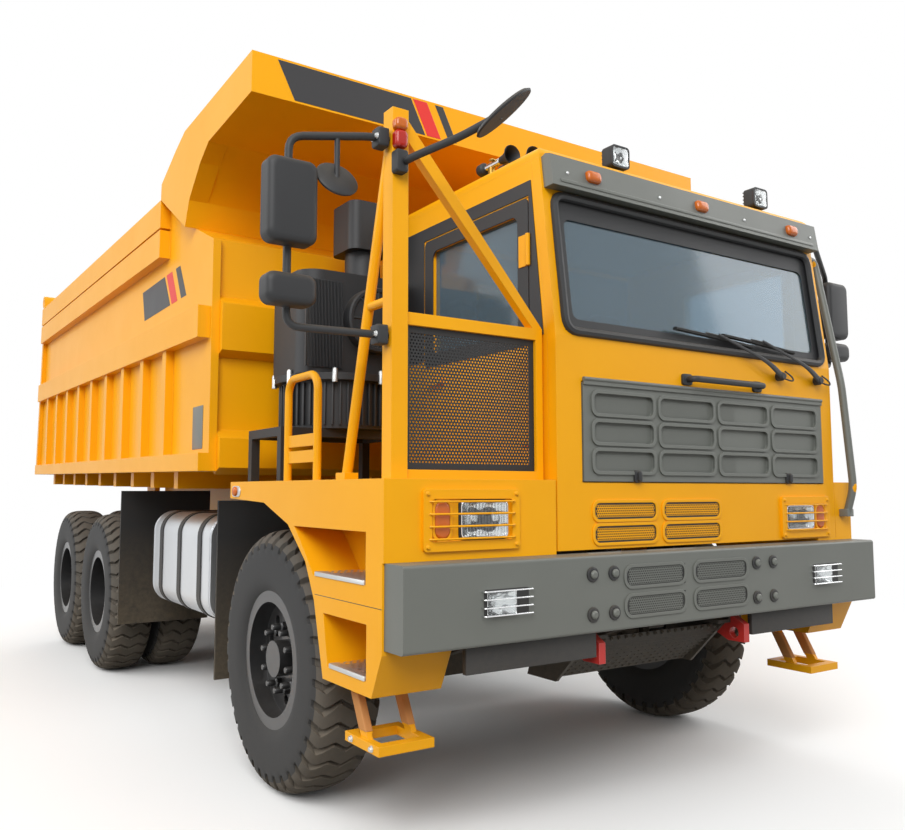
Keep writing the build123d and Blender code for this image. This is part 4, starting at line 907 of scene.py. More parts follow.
@dataclass
class CabFront:
    """The cab front's screen seal, wipers, grab handle, hatch slots and latches, skirt slots, visor lip."""

    datum: Datum
    face: float = 0.14
    hatch_face: float = 0.134
    hatch_z: Span = (1.626, 2.102)
    screen_x: Span = (-0.65, 1.41)
    screen_z: Span = (2.345, 3.035)
    screen_foot: float = 2.32
    lean: float = 0.0905 / 0.74
    wiper_x: tuple[Span, ...] = ((0.95, 0.42), (1.31, 0.80))
    wiper_z: Span = (2.235, 2.425)
    blade_x: Span = (-0.32, 0.30)
    blade_z: Span = (2.43, 2.385)
    hose_run: tuple[Point, ...] = ((0.05, 0.01, 0.0), (0.075, -0.05, -0.03), (0.10, -0.03, 0.0),
                                   (0.085, 0.01, 0.04))
    grab_x: Span = (0.184, 0.765)
    grab_z: float = 2.165
    grab_reach: float = 0.058
    slot_size: Span = (0.41, 0.1)
    slot_pitch: Span = (0.46, 0.14)
    hole_pitch: float = 0.0135
    hole: float = 0.0045
    latch_x: Span = (-0.2, 1.02)
    latch_z: float = 1.652
    lower_slots: tuple[Span, ...] = ((-0.486, -0.068), (-0.008, 0.419))
    lower_rows: Span = (1.373, 1.484)
    lower_slot: PressedSlot = PressedSlot(height=0.078, corner=0.03, lip_corner=0.042, lip_rise=0.007,
                                          floor_rise=0.0015, sheet_rise=0.004, sheet_inset=(0.012, 0.008),
                                          pitch=0.0135, hole=0.0048)
    visor_facing: Point = (0, -1, 0.15)
    visor_bolt_x: tuple[float, ...] = (-0.6, 0.05, 0.75, 1.38)

    def build(self) -> None:
        """Make every piece."""
        self.seal()
        self.wipers()
        self.grab_handle()
        self.hatch()
        self.lower_grille()
        self.visor()

    def screen_point(self, x: float, height: float, out: float = 0.0) -> Array:
        """A point on the leaning screen's plane, out from it by a distance."""
        station = self.face + max(0.0, height - self.screen_foot) * self.lean - out
        return np.array(self.datum.at(x, station, height))

    def seal(self) -> None:
        """Run a black rubber seal round the windscreen, with a wide printed band inside it."""
        (left, right), (low, high) = self.screen_x, self.screen_z
        corners = [(left, low), (right, low), (right, high), (left, high)]
        path = [self.screen_point(x, z, 0.004) for x, z in corners]
        middle = (path[0] + path[1]) / 2
        loop = bent([middle, *path[1:], path[0], middle], 0.07)[:-1]
        put(tube(loop, 0.022, 8, closed=True), "screen_seal", Surface.PLASTIC)
        width, height = right - left, (high - low) * math.hypot(1, self.lean)
        clear = rounded(width - 0.13, height - 0.18, 0.04, 8) - (0, 0.025)
        band = frame_ring(rounded(width, height, 0.06, 8), clear, 0.002)
        centre = self.screen_point((left + right) / 2, (low + high) / 2, -0.012)
        put(band.moved(place(centre, (0, -1, self.lean), UP)), "screen_band", Surface.PLASTIC)

    def wipers(self) -> None:
        """Lay two wipers across the screen's foot: a pivot, a tapered arm, and a blade on its yoke."""
        arms, blades = [], []
        boss = turned([(0.026, 0), (0.026, 0.03), (0.018, 0.045)], 16)
        for pivot_x, tip_x in self.wiper_x:
            pivot = self.screen_point(pivot_x, self.wiper_z[0], 0.012)
            tip = self.screen_point(tip_x, self.wiper_z[1], 0.045)
            arm = bent([pivot + (0, -0.03, 0), pivot * 0.7 + tip * 0.3 + (0, -0.05, 0.01), tip], 0.1)
            start, stop = (self.screen_point(tip_x + x, z, 0.022) for x, z in zip(self.blade_x, self.blade_z))
            blade = bent([start, (start + stop) / 2 + (0, 0.004, 0.006), stop], 0.3)
            hose = bent([pivot + step for step in self.hose_run], 0.04)
            arms += [boss.moved(place(pivot, FORWARD, UP)), tube(hose, 0.005, 6),
                     tube(arm, np.linspace(0.02, 0.008, len(arm)), 8, 0.5)]
            blades += [tube(blade, 0.011, 6, 1.7), tube(blade[2:-2] + (0, -0.016, 0.008), 0.006, 6)]
        put(joined(*arms), "wiper_arms", Surface.PLASTIC)
        put(joined(*blades), "wiper_blades", Surface.FLAP)

    def grab_handle(self) -> None:
        """Sleeve the handle under the screen in black, with a foot at each end."""
        (left, right), z, face = self.grab_x, self.grab_z, self.face
        out = face - self.grab_reach
        line = self.datum.line([(left, face, z), (left, out, z), (right, out, z), (right, face, z)])
        foot = slab(rounded(0.075, 0.06, 0.015), 0.014, 0.004)
        feet = foot.repeated(places([line[0], line[-1]], FORWARD, UP))
        put(joined(tube(bent(line, 0.033), 0.017, 14), feet), "grab_sleeve", Surface.PLASTIC)

    def hatch(self) -> None:
        """Give the hatch its raised slot lips, the perforated floors of some of them, and two latches."""
        low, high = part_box("grille_hatch")
        middle_x, middle_z = (low[0] + high[0]) / 2, sum(self.hatch_z) / 2
        width, height = self.slot_size
        lip = frame_ring(rounded(width + 0.03, height + 0.03, 0.042, 6),
                         rounded(width - 0.004, height - 0.004, 0.028, 6), 0.009)
        whole, part = width - 0.03, width / 3
        lips, floors = [], []
        for row, column in np.ndindex(3, 4):
            x = middle_x + (column - 1.5) * self.slot_pitch[0]
            z = middle_z + (row - 1) * self.slot_pitch[1]
            lips.append(lip.moved(place(self.datum.at(x, self.hatch_face, z), FORWARD, UP)))
            if column < 2 or (column == 2 and row != 1):
                holed = whole if column < 2 else part
                spot = self.datum.at(x - (whole - holed) / 2, self.hatch_face + 0.0085, z)
                sheet = perforated(holed, height - 0.012, self.hole_pitch, self.hole, 6)
                floors.append(sheet.moved(place(spot, FORWARD, UP)))
        put(joined(*lips), "hatch_slot_lips", Surface.GREY, "grille_hatch")
        put(joined(*floors), "hatch_perforations", Surface.GREY, "grille_hatch")
        latch = joined(slab(rounded(0.05, 0.06, 0.012), 0.012, 0.004),
                       slab(rounded(0.026, 0.05, 0.01), 0.028, 0.006))
        spots = self.datum.line([(x, self.hatch_face, self.latch_z) for x in self.latch_x])
        put(latch.repeated(places(spots, FORWARD, UP)), "hatch_latches", Surface.PLASTIC, "grille_hatch")

    def lower_grille(self) -> None:
        """Cut the look of two rows of perforated openings into the cab's skirt, each in a pressed lip."""
        lips, floors, sheets = self.lower_slot.rows(self.datum, self.face, self.lower_slots, self.lower_rows)
        put(lips, "skirt_slot_lips", Surface.YELLOW)
        # The black floor behind each sheet is painted shade inside the openings
        put(floors, "skirt_slot_painted_shade", Surface.PLASTIC)
        put(sheets, "skirt_perforations", Surface.YELLOW)

    def visor(self) -> None:
        """Fold a lip along the visor's lower edge and fix its face with small bolts."""
        low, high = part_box("visor")
        lip = slab(rounded(high[0] - low[0] - 0.1, 0.02, 0.009), 0.005, 0.003)
        middle = ((low[0] + high[0]) / 2, low[1] + 0.0055, low[2] + 0.03)
        put(lip.moved(place(middle, self.visor_facing, UP)), "visor_lip", Surface.GREY)
        spots = [(x, low[1] + 0.012, low[2] + 0.075) for x in self.visor_bolt_x]
        bolt = turned([(0.009, 0), (0.009, 0.004), (0.004, 0.009)], 16)
        put(bolt.repeated(places(spots, self.visor_facing, UP)), "visor_bolts", Surface.ZINC)


@dataclass
class FrontEnd:
    """The bumper's bolts and perforated openings, the black plates below it, partly painted shade, and the
    bars of the guard under it.
    """

    datum: Datum
    bolt_x: tuple[float, ...] = (-0.636, -0.503, 0.529, 0.668)
    bolt_z: Span = (1.026, 1.205)
    slots: tuple[Span, ...] = ((-0.425, -0.03), (0.05, 0.445))
    slot_rows: Span = (1.048, 1.182)
    slot: PressedSlot = PressedSlot(height=0.084, corner=0.036, lip_corner=0.05, lip_rise=0.006,
                                    floor_rise=0.0012, sheet_rise=0.003, sheet_inset=(0.016, 0.006),
                                    pitch=0.0125, hole=0.0043)
    # Black plates below the bumper that paint its dark band, partly the shade of its underside
    dark_band_x: Span = (0.56, 1.29)
    dark_band_stations: Span = (0.06, 0.09)
    dark_band_z: Span = (0.822, 0.943)
    bar_count: int = 19
    bar_reach: float = 0.46
    bar_ends: tuple[Span, Span] = ((0.219, 0.862), (0.459, 0.66))

    def build(self) -> None:
        """Make every piece."""
        spots = self.datum.line([(x, 0.0, z) for x in self.bolt_x for z in self.bolt_z])
        facing = places(spots, FORWARD, UP)
        washer = turned([(0.034, 0), (0.034, 0.006), (0.03, 0.009), (0.02, 0.009)], 24)
        bolt = turned([(0.019, 0.009), (0.019, 0.016), (0.012, 0.022)], 20)
        put(washer.repeated(facing), "bumper_washers", Surface.PLASTIC)
        put(bolt.repeated(facing), "bumper_bolts", Surface.GREY)
        self.openings()
        self.dark_band_plates()
        self.guard_bars()

    def openings(self) -> None:
        """Set a pressed lip, a dark floor of painted shade and a perforated sheet over each of the bumper's
        openings.
        """
        lips, floors, sheets = self.slot.rows(self.datum, 0.0, self.slots, self.slot_rows)
        put(lips, "bumper_slot_lips", Surface.GREY)
        # The black floor behind each sheet is painted shade inside the openings
        put(floors, "bumper_slot_painted_shade", Surface.PLASTIC)
        put(sheets, "bumper_perforations", Surface.GREY)

    def dark_band_plates(self) -> None:
        """Hang a black plate under the bumper, outboard of each tow hook and ahead of its eye: it paints the
        dark band there, partly the shade of the bumper's underside.
        """
        corners = zip(self.dark_band_x, self.dark_band_stations, self.dark_band_z)
        low, high = (self.datum.at(*corner) for corner in corners)
        put(box_shape(low, high, 0.004).mirrored(), "bumper_dark_band_plates", Surface.PLASTIC)

    def guard_bars(self) -> None:
        """Lay a row of bars fore and aft over the slatted guard under the bumper."""
        bars = [tube(np.array(self.datum.line([(x, *end) for end in self.bar_ends])), 0.009, 8)
                for x in np.linspace(-self.bar_reach, self.bar_reach, self.bar_count)]
        put(joined(*bars), "underguard_bars", Surface.BLACK)


@dataclass
class Lamps:
    """Headlamps and bumper lamps behind wires, visor markers, work lamps, horns, tail and side lamps."""

    datum: Datum
    panel: float = 0.14
    # Each headlamp frame's middle, height above ground, width, tallness and outward side
    head_frames: tuple[tuple[float, float, float, float, int], ...] = (
        (-1.204, 1.458, 0.508, 0.262, -1), (1.172, 1.43, 0.45, 0.236, 1))
    bumper_x: Span = (-1.124, 1.139)
    bumper_z: float = 1.117
    bumper_wire_z: tuple[float, ...] = (-0.05, -0.017, 0.017, 0.05)
    marker_x: tuple[float, ...] = (-0.43, 0.38, 1.19)
    marker_z: float = 3.145
    roof: float = 3.28
    work_x: Span = (-0.1, 1.09)
    work_station: float = 0.375
    horn_spots: tuple[Span, ...] = ((-0.657, 0.53), (-0.55, 0.48))
    horn_z: float = 3.336
    valve_x: float = -0.603
    tail_x: float = 0.45
    tail_z: float = 1.03
    side_spot: Point = (1.64, 1.84, 1.578)

    def build(self) -> None:
        """Make every lamp; together they stand for the lamps node."""
        frames = self.headlamps()
        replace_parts(frames, "lamps")
        self.bumper_lamps()
        self.markers()
        self.work_lamps()
        self.horns()
        self.post_lamp()
        self.side_markers()
        self.tail_lamps()

    def headlamps(self) -> bpy.types.Object:
        """Mount a chrome lamp and an amber one in each pressed frame, with four guard wires across them, and
        a dark plate of painted shade behind each chrome lamp.
        """
        frames, chrome, dark, lenses, amber, flutes = [], [], [], [], [], []
        for middle, z, width, tall, outward in self.head_frames:
            facing = place(self.datum.at(middle, self.panel, z), FORWARD, UP)
            lamp = facing @ place((-outward * width * 0.12, 0, 0))
            turn = facing @ place((outward * width * 0.31, 0, 0))
            half, rise = width / 2, tall / 2
            bolts = [(x * (half - 0.02), y * (rise - 0.02), 0.016) for x in (-1, 1) for y in (-1, 1)]
            wires = [self.wire(half - 0.03, half - 0.045, y, 0.016, 0.03, 0.0045)
                     for y in np.linspace(-0.3, 0.3, 4) * tall]
            opening = rounded(width - 0.085, tall - 0.085, 0.012)
            surround = frame_ring(rounded(width, tall, 0.018), opening, 0.016)
            frames.append(joined(surround, hex_bolt(0.014).repeated(places(bolts)), *wires).moved(facing))
            pill = rounded(0.078, tall - 0.1, 0.037, 8)
            frames.append(frame_ring(rounded(0.1, tall - 0.075, 0.045, 8), pill, 0.012).moved(turn))
            amber.append(slab(pill, 0.016, 0.012, 5).moved(turn))
            # A dark plate behind each chrome lamp: painted shade of the hollow the lamp sits in
            dark.append(slab(rounded(0.262, tall - 0.09, 0.02), 0.006).moved(lamp))
            bulb = turned([(0.02, 0.006), (0.02, 0.012), (0.008, 0.0155)], 24)
            bulbs = bulb.repeated(places([(x, 0.01, 0) for x in (-0.055, 0.055)]))
            bezel = frame_ring(rounded(0.25, tall - 0.1, 0.022), rounded(0.236, tall - 0.114, 0.018), 0.016)
            chrome.append(joined(self.reflector(0.24, tall - 0.11), bulbs, bezel).moved(lamp))
            lens = slab(rounded(0.24, tall - 0.11, 0.02), 0.004, 0.002)
            lenses.append(lens.moved(lamp @ place((0, 0, 0.0165))))
            ribs = [tube(np.array([(x, -tall * 0.26, 0.0208), (x, tall * 0.26, 0.0208)]), 0.0028, 6)
                    for x in np.linspace(-0.1, 0.1, 13)]
            flutes.append(joined(*ribs).moved(lamp))
        put(joined(*dark), "headlamp_recess_shade", Surface.PLASTIC)
        put(joined(*chrome), "headlamp_reflectors", Surface.CHROME)
        put(joined(*lenses), "headlamp_lenses", Surface.LENS)
        put(joined(*flutes), "headlamp_flutes", Surface.LENS)
        put(joined(*amber), "turn_lamps", Surface.AMBER)
        return put(joined(*frames), "headlamp_frames", Surface.YELLOW)

    def wire(self, feet: float, knees: float, y: float, foot: float, out: float, radius: float) -> Shape:
        """A guard wire that stands on two feet and runs straight across before a lamp.

        Args:
            feet: how far its feet are from the middle.
            knees: how far its bends are.
            y: its height on the lamp.
            foot: where its feet start along Z.
            out: where it runs along Z.
            radius: half its thickness.

        Returns:
            The wire.
        """
        line = [(-feet, y, foot), (-knees, y, out), (knees, y, out), (feet, y, foot)]
        return tube(bent(line, 0.012), radius, 8)

    def reflector(self, width: float, height: float) -> Shape:
        """A pressed reflector: a bowl that rises with the cube of the distance out, under crossed ripples."""
        across, up = np.meshgrid(np.linspace(-1, 1, 29), np.linspace(-1, 1, 21), indexing="ij")
        rise = 0.003 + 0.011 * np.maximum(np.abs(across), np.abs(up)) ** 3
        ripple = 0.0014 * np.sin(8 * across) * np.cos(6 * up)
        grid = np.stack((across * width / 2, up * height / 2, rise + ripple), -1)
        return lattice(grid, ring=False, ends=False)

    def bumper_lamps(self) -> None:
        """Set a chrome lamp on a dark plate, painted shade of its recess, at each end of the bumper, with
        four wires before it.
        """
        facing = places(self.datum.line([(x, 0.0, self.bumper_z) for x in self.bumper_x]), FORWARD, UP)
        seat = place((-0.034, 0, 0.002))
        bezel = frame_ring(rounded(0.152, 0.104, 0.01), rounded(0.142, 0.094, 0.008), 0.012)
        lens = slab(rounded(0.146, 0.098, 0.01), 0.003, 0.0015).moved(place((0, 0, 0.0125)))
        wires = joined(*(self.wire(0.13, 0.128, y, 0.0, 0.024, 0.0034) for y in self.bumper_wire_z))
        # The dark plate is painted shade of the recess round the lamp
        plate = slab(rounded(0.236, 0.112, 0.01), 0.002)
        put(plate.repeated(facing), "bumper_lamp_recess_shade", Surface.PLASTIC)
        put(joined(self.reflector(0.148, 0.1), bezel).moved(seat).repeated(facing), "bumper_lamp_reflectors",
            Surface.CHROME)
        put(lens.moved(seat).repeated(facing), "bumper_lamp_lenses", Surface.LENS)
        put(wires.repeated(facing), "bumper_lamp_wires", Surface.CHROME)

    def markers(self) -> None:
        """Fix three domed amber markers to the visor."""
        dome = slab(rounded(0.096, 0.062, 0.022, 6), 0.026, 0.02, 5)
        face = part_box("visor")[0][1] + 0.0135
        spots = [(x, face, self.marker_z) for x in self.marker_x]
        put(dome.repeated(places(spots, (0, -1, 0.15), UP)), "visor_markers", Surface.AMBER)

    def work_lamps(self) -> None:
        """Stand two square work lamps on the roof, each a finned rounded housing on a foot."""
        outline = rounded(0.132, 0.122, 0.022)
        middle = 0.089
        hood = frame_ring(outline, rounded(0.11, 0.1, 0.014), 0.014).moved(place((0, 0, 0.061)))
        case = joined(slab(outline, 0.062, 0.004), hood).moved(place((0, 0, middle), FORWARD, UP))
        foot = box_shape((-0.02, -0.05, 0.0), (0.02, -0.02, 0.04), 0.004)
        fins = [box_shape((-0.055, -0.002, 0.045 + rise), (0.055, 0.016, 0.051 + rise), 0.002)
                for rise in np.arange(5) * 0.022]
        front = place((0, 0, middle), FORWARD, UP) @ place((0, 0, 0.058))
        lens = slab(rounded(0.112, 0.102, 0.014), 0.003, 0.0015).moved(front @ place((0, 0, 0.0135)))
        spots = places(self.datum.line([(x, self.work_station, self.roof) for x in self.work_x]))
        put(joined(case, foot, *fins).repeated(spots), "work_lamp_housings", Surface.PLASTIC)
        put(self.reflector(0.11, 0.1).moved(front).repeated(spots), "work_lamp_reflectors", Surface.CHROME)
        put(lens.repeated(spots), "work_lamp_lenses", Surface.LENS)

    def horns(self) -> None:
        """Lay two trumpet horns on the roof's right edge: a flared bell, a tapering pipe and a drum."""
        bell = [(0.004, 0.1), (0.014, 0.09), (0.022, 0.055), (0.034, 0.022), (0.05, 0.002), (0.052, 0.0),
                (0.0535, 0.003), (0.036, 0.028), (0.025, 0.06), (0.019, 0.1)]
        pipe = [(0.019, 0.1), (0.0175, 0.16), (0.0165, 0.235)]
        drum = [(0.0165, 0.235), (0.03, 0.24), (0.034, 0.245), (0.034, 0.28), (0.03, 0.287), (0.01, 0.29)]
        spots = self.datum.line([(x, station, self.horn_z) for x, station in self.horn_spots])
        back = places(spots, REARWARD, UP)
        put(turned(bell, 32).repeated(back), "horn_bells", Surface.PLASTIC)
        put(turned(pipe, 24).repeated(back), "horn_pipes", Surface.CHROME)
        put(turned(drum, 24).repeated(back), "horn_drums", Surface.PLASTIC)
        feet = [box_shape((x - 0.014, y + 0.17, self.roof), (x + 0.014, y + 0.2, self.roof + 0.05), 0.003)
                for x, y, _ in spots]
        (first, y, _), (second, _, _) = spots
        bridge = box_shape((first - 0.03, y + 0.14, 3.352), (second + 0.03, y + 0.17, 3.358), 0.002)
        valve = turned([(0.018, 0.0), (0.018, 0.03), (0.012, 0.036)], 20)
        valve = valve.moved(place((self.valve_x, y + 0.155, 3.356)))
        put(joined(bridge, valve, *feet), "horn_bracket", Surface.BRASS)

    def post_lamp(self) -> None:
        """Fix a rounded lamp to the guard post, amber above red."""
        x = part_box("guard_frame")[0][0] + 0.044
        for part, height, tall, surface in (("upper", 3.16, 0.056, Surface.AMBER),
                                            ("lower", 3.092, 0.08, Surface.RED_LENS)):
            lens = slab(rounded(0.062, tall, 0.02, 6), 0.038, 0.016, 6)
            put(lens.moved(place(self.datum.at(x, 0.2, height), FORWARD, UP)), f"post_lamp_{part}", surface)

    def tail_lamps(self) -> None:
        """Fit a tail lamp to each rail's end: a black housing with a red and an amber lens."""
        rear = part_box("frame_rails")[1][1]
        housing = slab(rounded(0.11, 0.1, 0.008), 0.026, 0.004)
        lens = slab(rounded(0.044, 0.084, 0.008), 0.012, 0.005, 4)
        for side, sign in reversed(SIDES):
            facing = place((sign * self.tail_x, rear, self.tail_z), REARWARD, UP)
            put(housing.moved(facing), f"tail_lamp_housing_{side}", Surface.PLASTIC)
            for name, shift, surface in (("red", -0.024, Surface.RED_LENS), ("amber", 0.026, Surface.AMBER)):
                put(lens.moved(facing @ place((shift, 0, 0.024))), f"tail_lamp_{name}_{side}", surface)

    def side_markers(self) -> None:
        """Fix a round amber marker on an oval base at each fender's rear end."""
        base = slab(rounded(0.13, 0.062, 0.03, 8), 0.006, 0.003)
        dome = turned([(0.027, 0.006), (0.027, 0.014), (0.02, 0.021), (0.006, 0.024)], 28)
        x, station, z = self.side_spot
        for side, sign in reversed(SIDES):
            facing = place(self.datum.at(sign * x, station, z), (sign, 0, 0), UP)
            put(base.moved(facing), f"side_marker_base_{side}", Surface.ZINC)
            put(dome.moved(facing), f"side_marker_{side}", Surface.AMBER)


@dataclass
class Deck:
    """The right deck's guard panel and air cleaner, the mirrors with their clamps, and the corner pipe."""

    datum: Datum
    border: float = 0.03
    hole_pitch: float = 0.0165
    hole: float = 0.0047
    cleaner_axis: Span = (-1.085, 1.70)
    bowl_radius: float = 0.322
    bowl_z: Span = (1.95, 2.19)
    staves: int = 48
    cover_spot: Point = (-0.985, 1.39, 2.56)
    spokes: int = 8
    rib_spot: Point = (-1.41, 1.44, 2.27)
    rib_count: int = 26
    rib_pitch: float = 0.009
    clip_radius: float = 0.365
    clip_z: float = 2.22
    clips: int = 8
    arm_z: Span = (3.1, 2.24)
    arm_station: float = 0.24
    arm_runs: tuple[tuple[Point, ...], ...] = (
        ((-1.572, 0.24, 3.1), (-1.652, 0.24, 3.1), (-2.0, 0.32, 3.05),
         (-2.0, 0.32, 2.25), (-1.652, 0.24, 2.24), (-1.572, 0.24, 2.24)),
        ((1.475, 0.27, 3.14), (1.575, 0.27, 3.14), (2.0, 0.47, 3.02),
         (2.0, 0.47, 2.42), (1.575, 0.27, 2.4), (1.475, 0.27, 2.4)),
        ((-1.532, 0.2, 2.99), (-1.532, 0.11, 2.99), (-1.4, -0.06, 3.05), (-1.33, -0.245, 3.092)),
    )
    # Each mirror's reach across, station, lower edge and upper edge
    mirror_spans: tuple[tuple[float, float, float, float], ...] = (
        (-2.009, 0.31, 2.578, 2.93), (-2.009, 0.31, 2.325, 2.455),
        (2.009, 0.46, 2.6, 2.98), (2.009, 0.46, 2.45, 2.57))
    mirror_width: float = 0.222
    dish_spot: Point = (-1.8, 0.274, 2.89)
    dish_drop: float = 0.188
    disc_spot: Point = (-1.33, -0.261, 3.1)
    pipe_run: tuple[Point, ...] = ((1.476, 0.26, 3.03), (1.55, 0.26, 3.03), (1.55, 0.11, 2.23),
                                   (1.55, 0.06, 1.6), (1.55, 0.105, 1.45))

    def build(self) -> None:
        """Make every piece."""
        self.guard_panel()
        self.cleaner()
        self.clamps()
        self.mirrors()
        self.corner_pipe()

    def guard_panel(self) -> None:
        """Fill the guard frame with a perforated sheet inside a plain border."""
        low, high = np.array(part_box("guard_mesh"))
        width, _, height = high - low
        clear_x, clear_z = width - 2 * self.border, height - 2 * self.border
        edge = frame_ring(rounded(width, height, 0.004), rounded(clear_x, clear_z, 0.004), 0.004)
        sheet = perforated(clear_x + 0.014, clear_z + 0.014, self.hole_pitch, self.hole, 6)
        filled = joined(edge, sheet.moved(place((0, 0, 0.002))))
        panel = put(filled.moved(place((low + high) / 2, FORWARD, UP)), "guard_panel", Surface.BLACK)
        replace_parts(panel, "guard_mesh")

    def cleaner(self) -> None:
        """Add the air cleaner's ribbed bowl, its round spoked cover, its housing's ribs and its clips."""
        axis = self.datum.at(*self.cleaner_axis, 0.0)
        (bottom, top), near = self.bowl_z, self.bowl_radius
        stave = box_shape((-0.006, -near - 0.016, bottom), (0.006, -near, top), 0.003)
        put(stave.repeated(turns(self.staves)).moved(place(axis)), "cleaner_bowl_ribs", Surface.PLASTIC)
        rim = turned([(0.19, 0), (0.19, 0.02), (0.182, 0.03), (0.165, 0.03), (0.16, 0.02), (0.08, 0.02),
                      (0.07, 0.034), (0.004, 0.036)], 48)
        spokes = box_shape((-0.005, 0.075, 0.018), (0.005, 0.165, 0.028), 0.003).repeated(turns(self.spokes))
        cover = place(self.datum.at(*self.cover_spot), FORWARD, UP)
        put(joined(rim, spokes).moved(cover), "cleaner_cover", Surface.PLASTIC)
        x, station, z = self.rib_spot
        ribs = self.datum.line([(x + self.rib_pitch * index, station, z) for index in range(self.rib_count)])
        rib = box_shape((-0.002, -0.012, 0), (0.002, 0.004, 0.5), 0.001)
        put(rib.repeated(places(ribs)), "cleaner_housing_ribs", Surface.PLASTIC)
        ring = circle(self.clips, 0.3) * self.clip_radius
        clips = np.column_stack((ring, np.full(self.clips, self.clip_z))) + axis
        clip = turned([(0.016, -0.035), (0.016, 0.035), (0.01, 0.045)], 12)
        put(clip.repeated(places(clips)), "cleaner_clips", Surface.ZINC)

    def mirrors(self) -> None:
        """Bend the mirror arms and carry domed housings, a round mirror and the look-down disc on them."""
        shapes = [tube(bent(self.datum.line(run), 0.06), 0.017, 14) for run in self.arm_runs]
        panes = []
        for x, station, low, high in self.mirror_spans:
            spot, tall, width = self.datum.at(x, station, (low + high) / 2), high - low, self.mirror_width
            outline, behind = rounded(width, tall, 0.04, 8), place(spot, REARWARD, UP)
            shapes.append(slab(outline, 0.08, 0.03, 6).moved(place(spot, FORWARD, UP)))
            rim = frame_ring(outline, rounded(width - 0.026, tall - 0.026, 0.028, 8), 0.004)
            shapes.append(rim.moved(behind))
            panes.append(slab(rounded(width - 0.028, tall - 0.028, 0.028, 8), 0.001).moved(behind))
        foot = np.array(self.datum.at(*self.dish_spot))
        shapes.append(tube(np.stack((foot, foot + (0, 0, self.dish_drop))), 0.012, 12))
        dish = turned([(0.02, 0.012), (0.086, 0.011), (0.095, 0.004), (0.092, -0.006), (0.05, -0.012),
                       (0.005, -0.012)], 40)
        shapes.append(dish.moved(place(foot, (0, -0.866, 0.5), UP)))
        disc = turned([(0.005, 0.015), (0.08, 0.012), (0.128, 0.004), (0.14, -0.006), (0.136, -0.013),
                       (0.005, -0.015)], 56)
        shapes.append(disc.moved(place(self.datum.at(*self.disc_spot), (-0.6, 0.25, 0.76), UP)))
        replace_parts(put(joined(*shapes), "mirror_arms_and_housings", Surface.PLASTIC), "mirrors")
        put(joined(*panes), "mirror_panes", Surface.MIRROR)

    def corner_pipe(self) -> None:
        """Sleeve the pipe at the cab's left corner, and its foot, in grey."""
        foot = box_shape(self.datum.at(1.518, 0.083, 1.428), self.datum.at(1.582, 0.139, 1.472), 0.003)
        pipe = tube(bent(self.datum.line(self.pipe_run), 0.06), 0.0225, 16)
        put(joined(pipe, foot), "corner_pipe_sleeve", Surface.GREY)

    def clamps(self) -> None:
        """Clamp the mirror arms to the guard post with bolted black blocks."""
        post, _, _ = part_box("guard_frame")[0]
        right = (-1, 0, 0)
        spots = self.datum.line([(post, self.arm_station, z) for z in self.arm_z])
        block = slab(rounded(0.07, 0.085, 0.012), 0.05, 0.008).repeated(places(spots, right, UP))
        front = slab(rounded(0.06, 0.1, 0.012), 0.045, 0.008)
        front = front.moved(place(self.datum.at(post + 0.04, 0.2, 2.99), FORWARD, UP))
        put(joined(block, front), "mirror_clamps", Surface.PLASTIC)
        bolts = [(x - 0.05, y + step, z) for x, y, z in spots for step in (-0.022, 0.022)]
        put(hex_bolt(0.018).repeated(places(bolts, right, UP)), "mirror_clamp_bolts", Surface.ZINC)


@dataclass
class Bed:
    """The bed's vinyl stripes and blank plates."""

    datum: Datum
    panel: float = 1.69
    fascia: float = 1.4
    vinyl: float = 0.0012
    fascia_z: Span = (3.752, 3.962)
    side_z: Span = (2.882, 3.117)
    # Each stripe's name, its ends along the lower edge and along the upper edge, and its film
    fascia_stripes: tuple[tuple[str, Span, Span, Surface], ...] = (
        ("fascia_block", (-1.511, -0.649), (-1.615, -0.753), Surface.DARK_STRIPE),
        ("fascia_red_stripe", (-0.635, -0.534), (-0.739, -0.638), Surface.RED_STRIPE),
        ("fascia_grey_stripe", (-0.475, -0.416), (-0.579, -0.52), Surface.DARK_STRIPE),
    )
    side_stripes: tuple[tuple[str, Span, Span, Surface], ...] = (
        ("side_block", (3.11, 3.796), (3.267, 3.874), Surface.DARK_STRIPE),
        ("side_red", (2.939, 3.072), (3.081, 3.223), Surface.RED_STRIPE),
        ("side_grey", (2.734, 2.851), (2.89, 2.993), Surface.DARK_STRIPE),
    )
    plate_station: float = 2.42
    plate_z: float = 1.975

    def build(self) -> None:
        """Lay three stripes across the canopy's front, and three stripes and a plate on each side."""
        facing = place(self.datum.at(0, self.fascia, 0), FORWARD, UP)
        for name, lower, upper, surface in self.fascia_stripes:
            put(self.stripe(lower, upper, self.fascia_z).moved(facing), name, surface, "bed")
        for side, sign in reversed(SIDES):
            facing = place((sign * self.panel, 0, 0), (sign, 0, 0), UP)
            for name, *edges, surface in self.side_stripes:
                ends = [[sign * (self.datum.front + station) for station in edge] for edge in edges]
                put(self.stripe(*ends, self.side_z).moved(facing), f"{name}_{side}", surface, "bed")
        plate = slab(rounded(0.2, 0.27, 0.006), 0.003, 0.001)
        for side, sign in reversed(SIDES):
            spot = self.datum.at(sign * self.panel, self.plate_station, self.plate_z)
            put(plate.moved(place(spot, (sign, 0, 0), UP)), f"blank_plate_{side}", Surface.GREY, "bed")

    def stripe(self, lower: Span, upper: Span, heights: Span) -> Shape:
        """A thin leaning patch between its ends on a lower and an upper edge, facing Z."""
        low, high = heights
        corners = [(lower[0], low), (lower[1], low), (upper[1], high), (upper[0], high)]
        return slab(np.array(corners), self.vinyl)


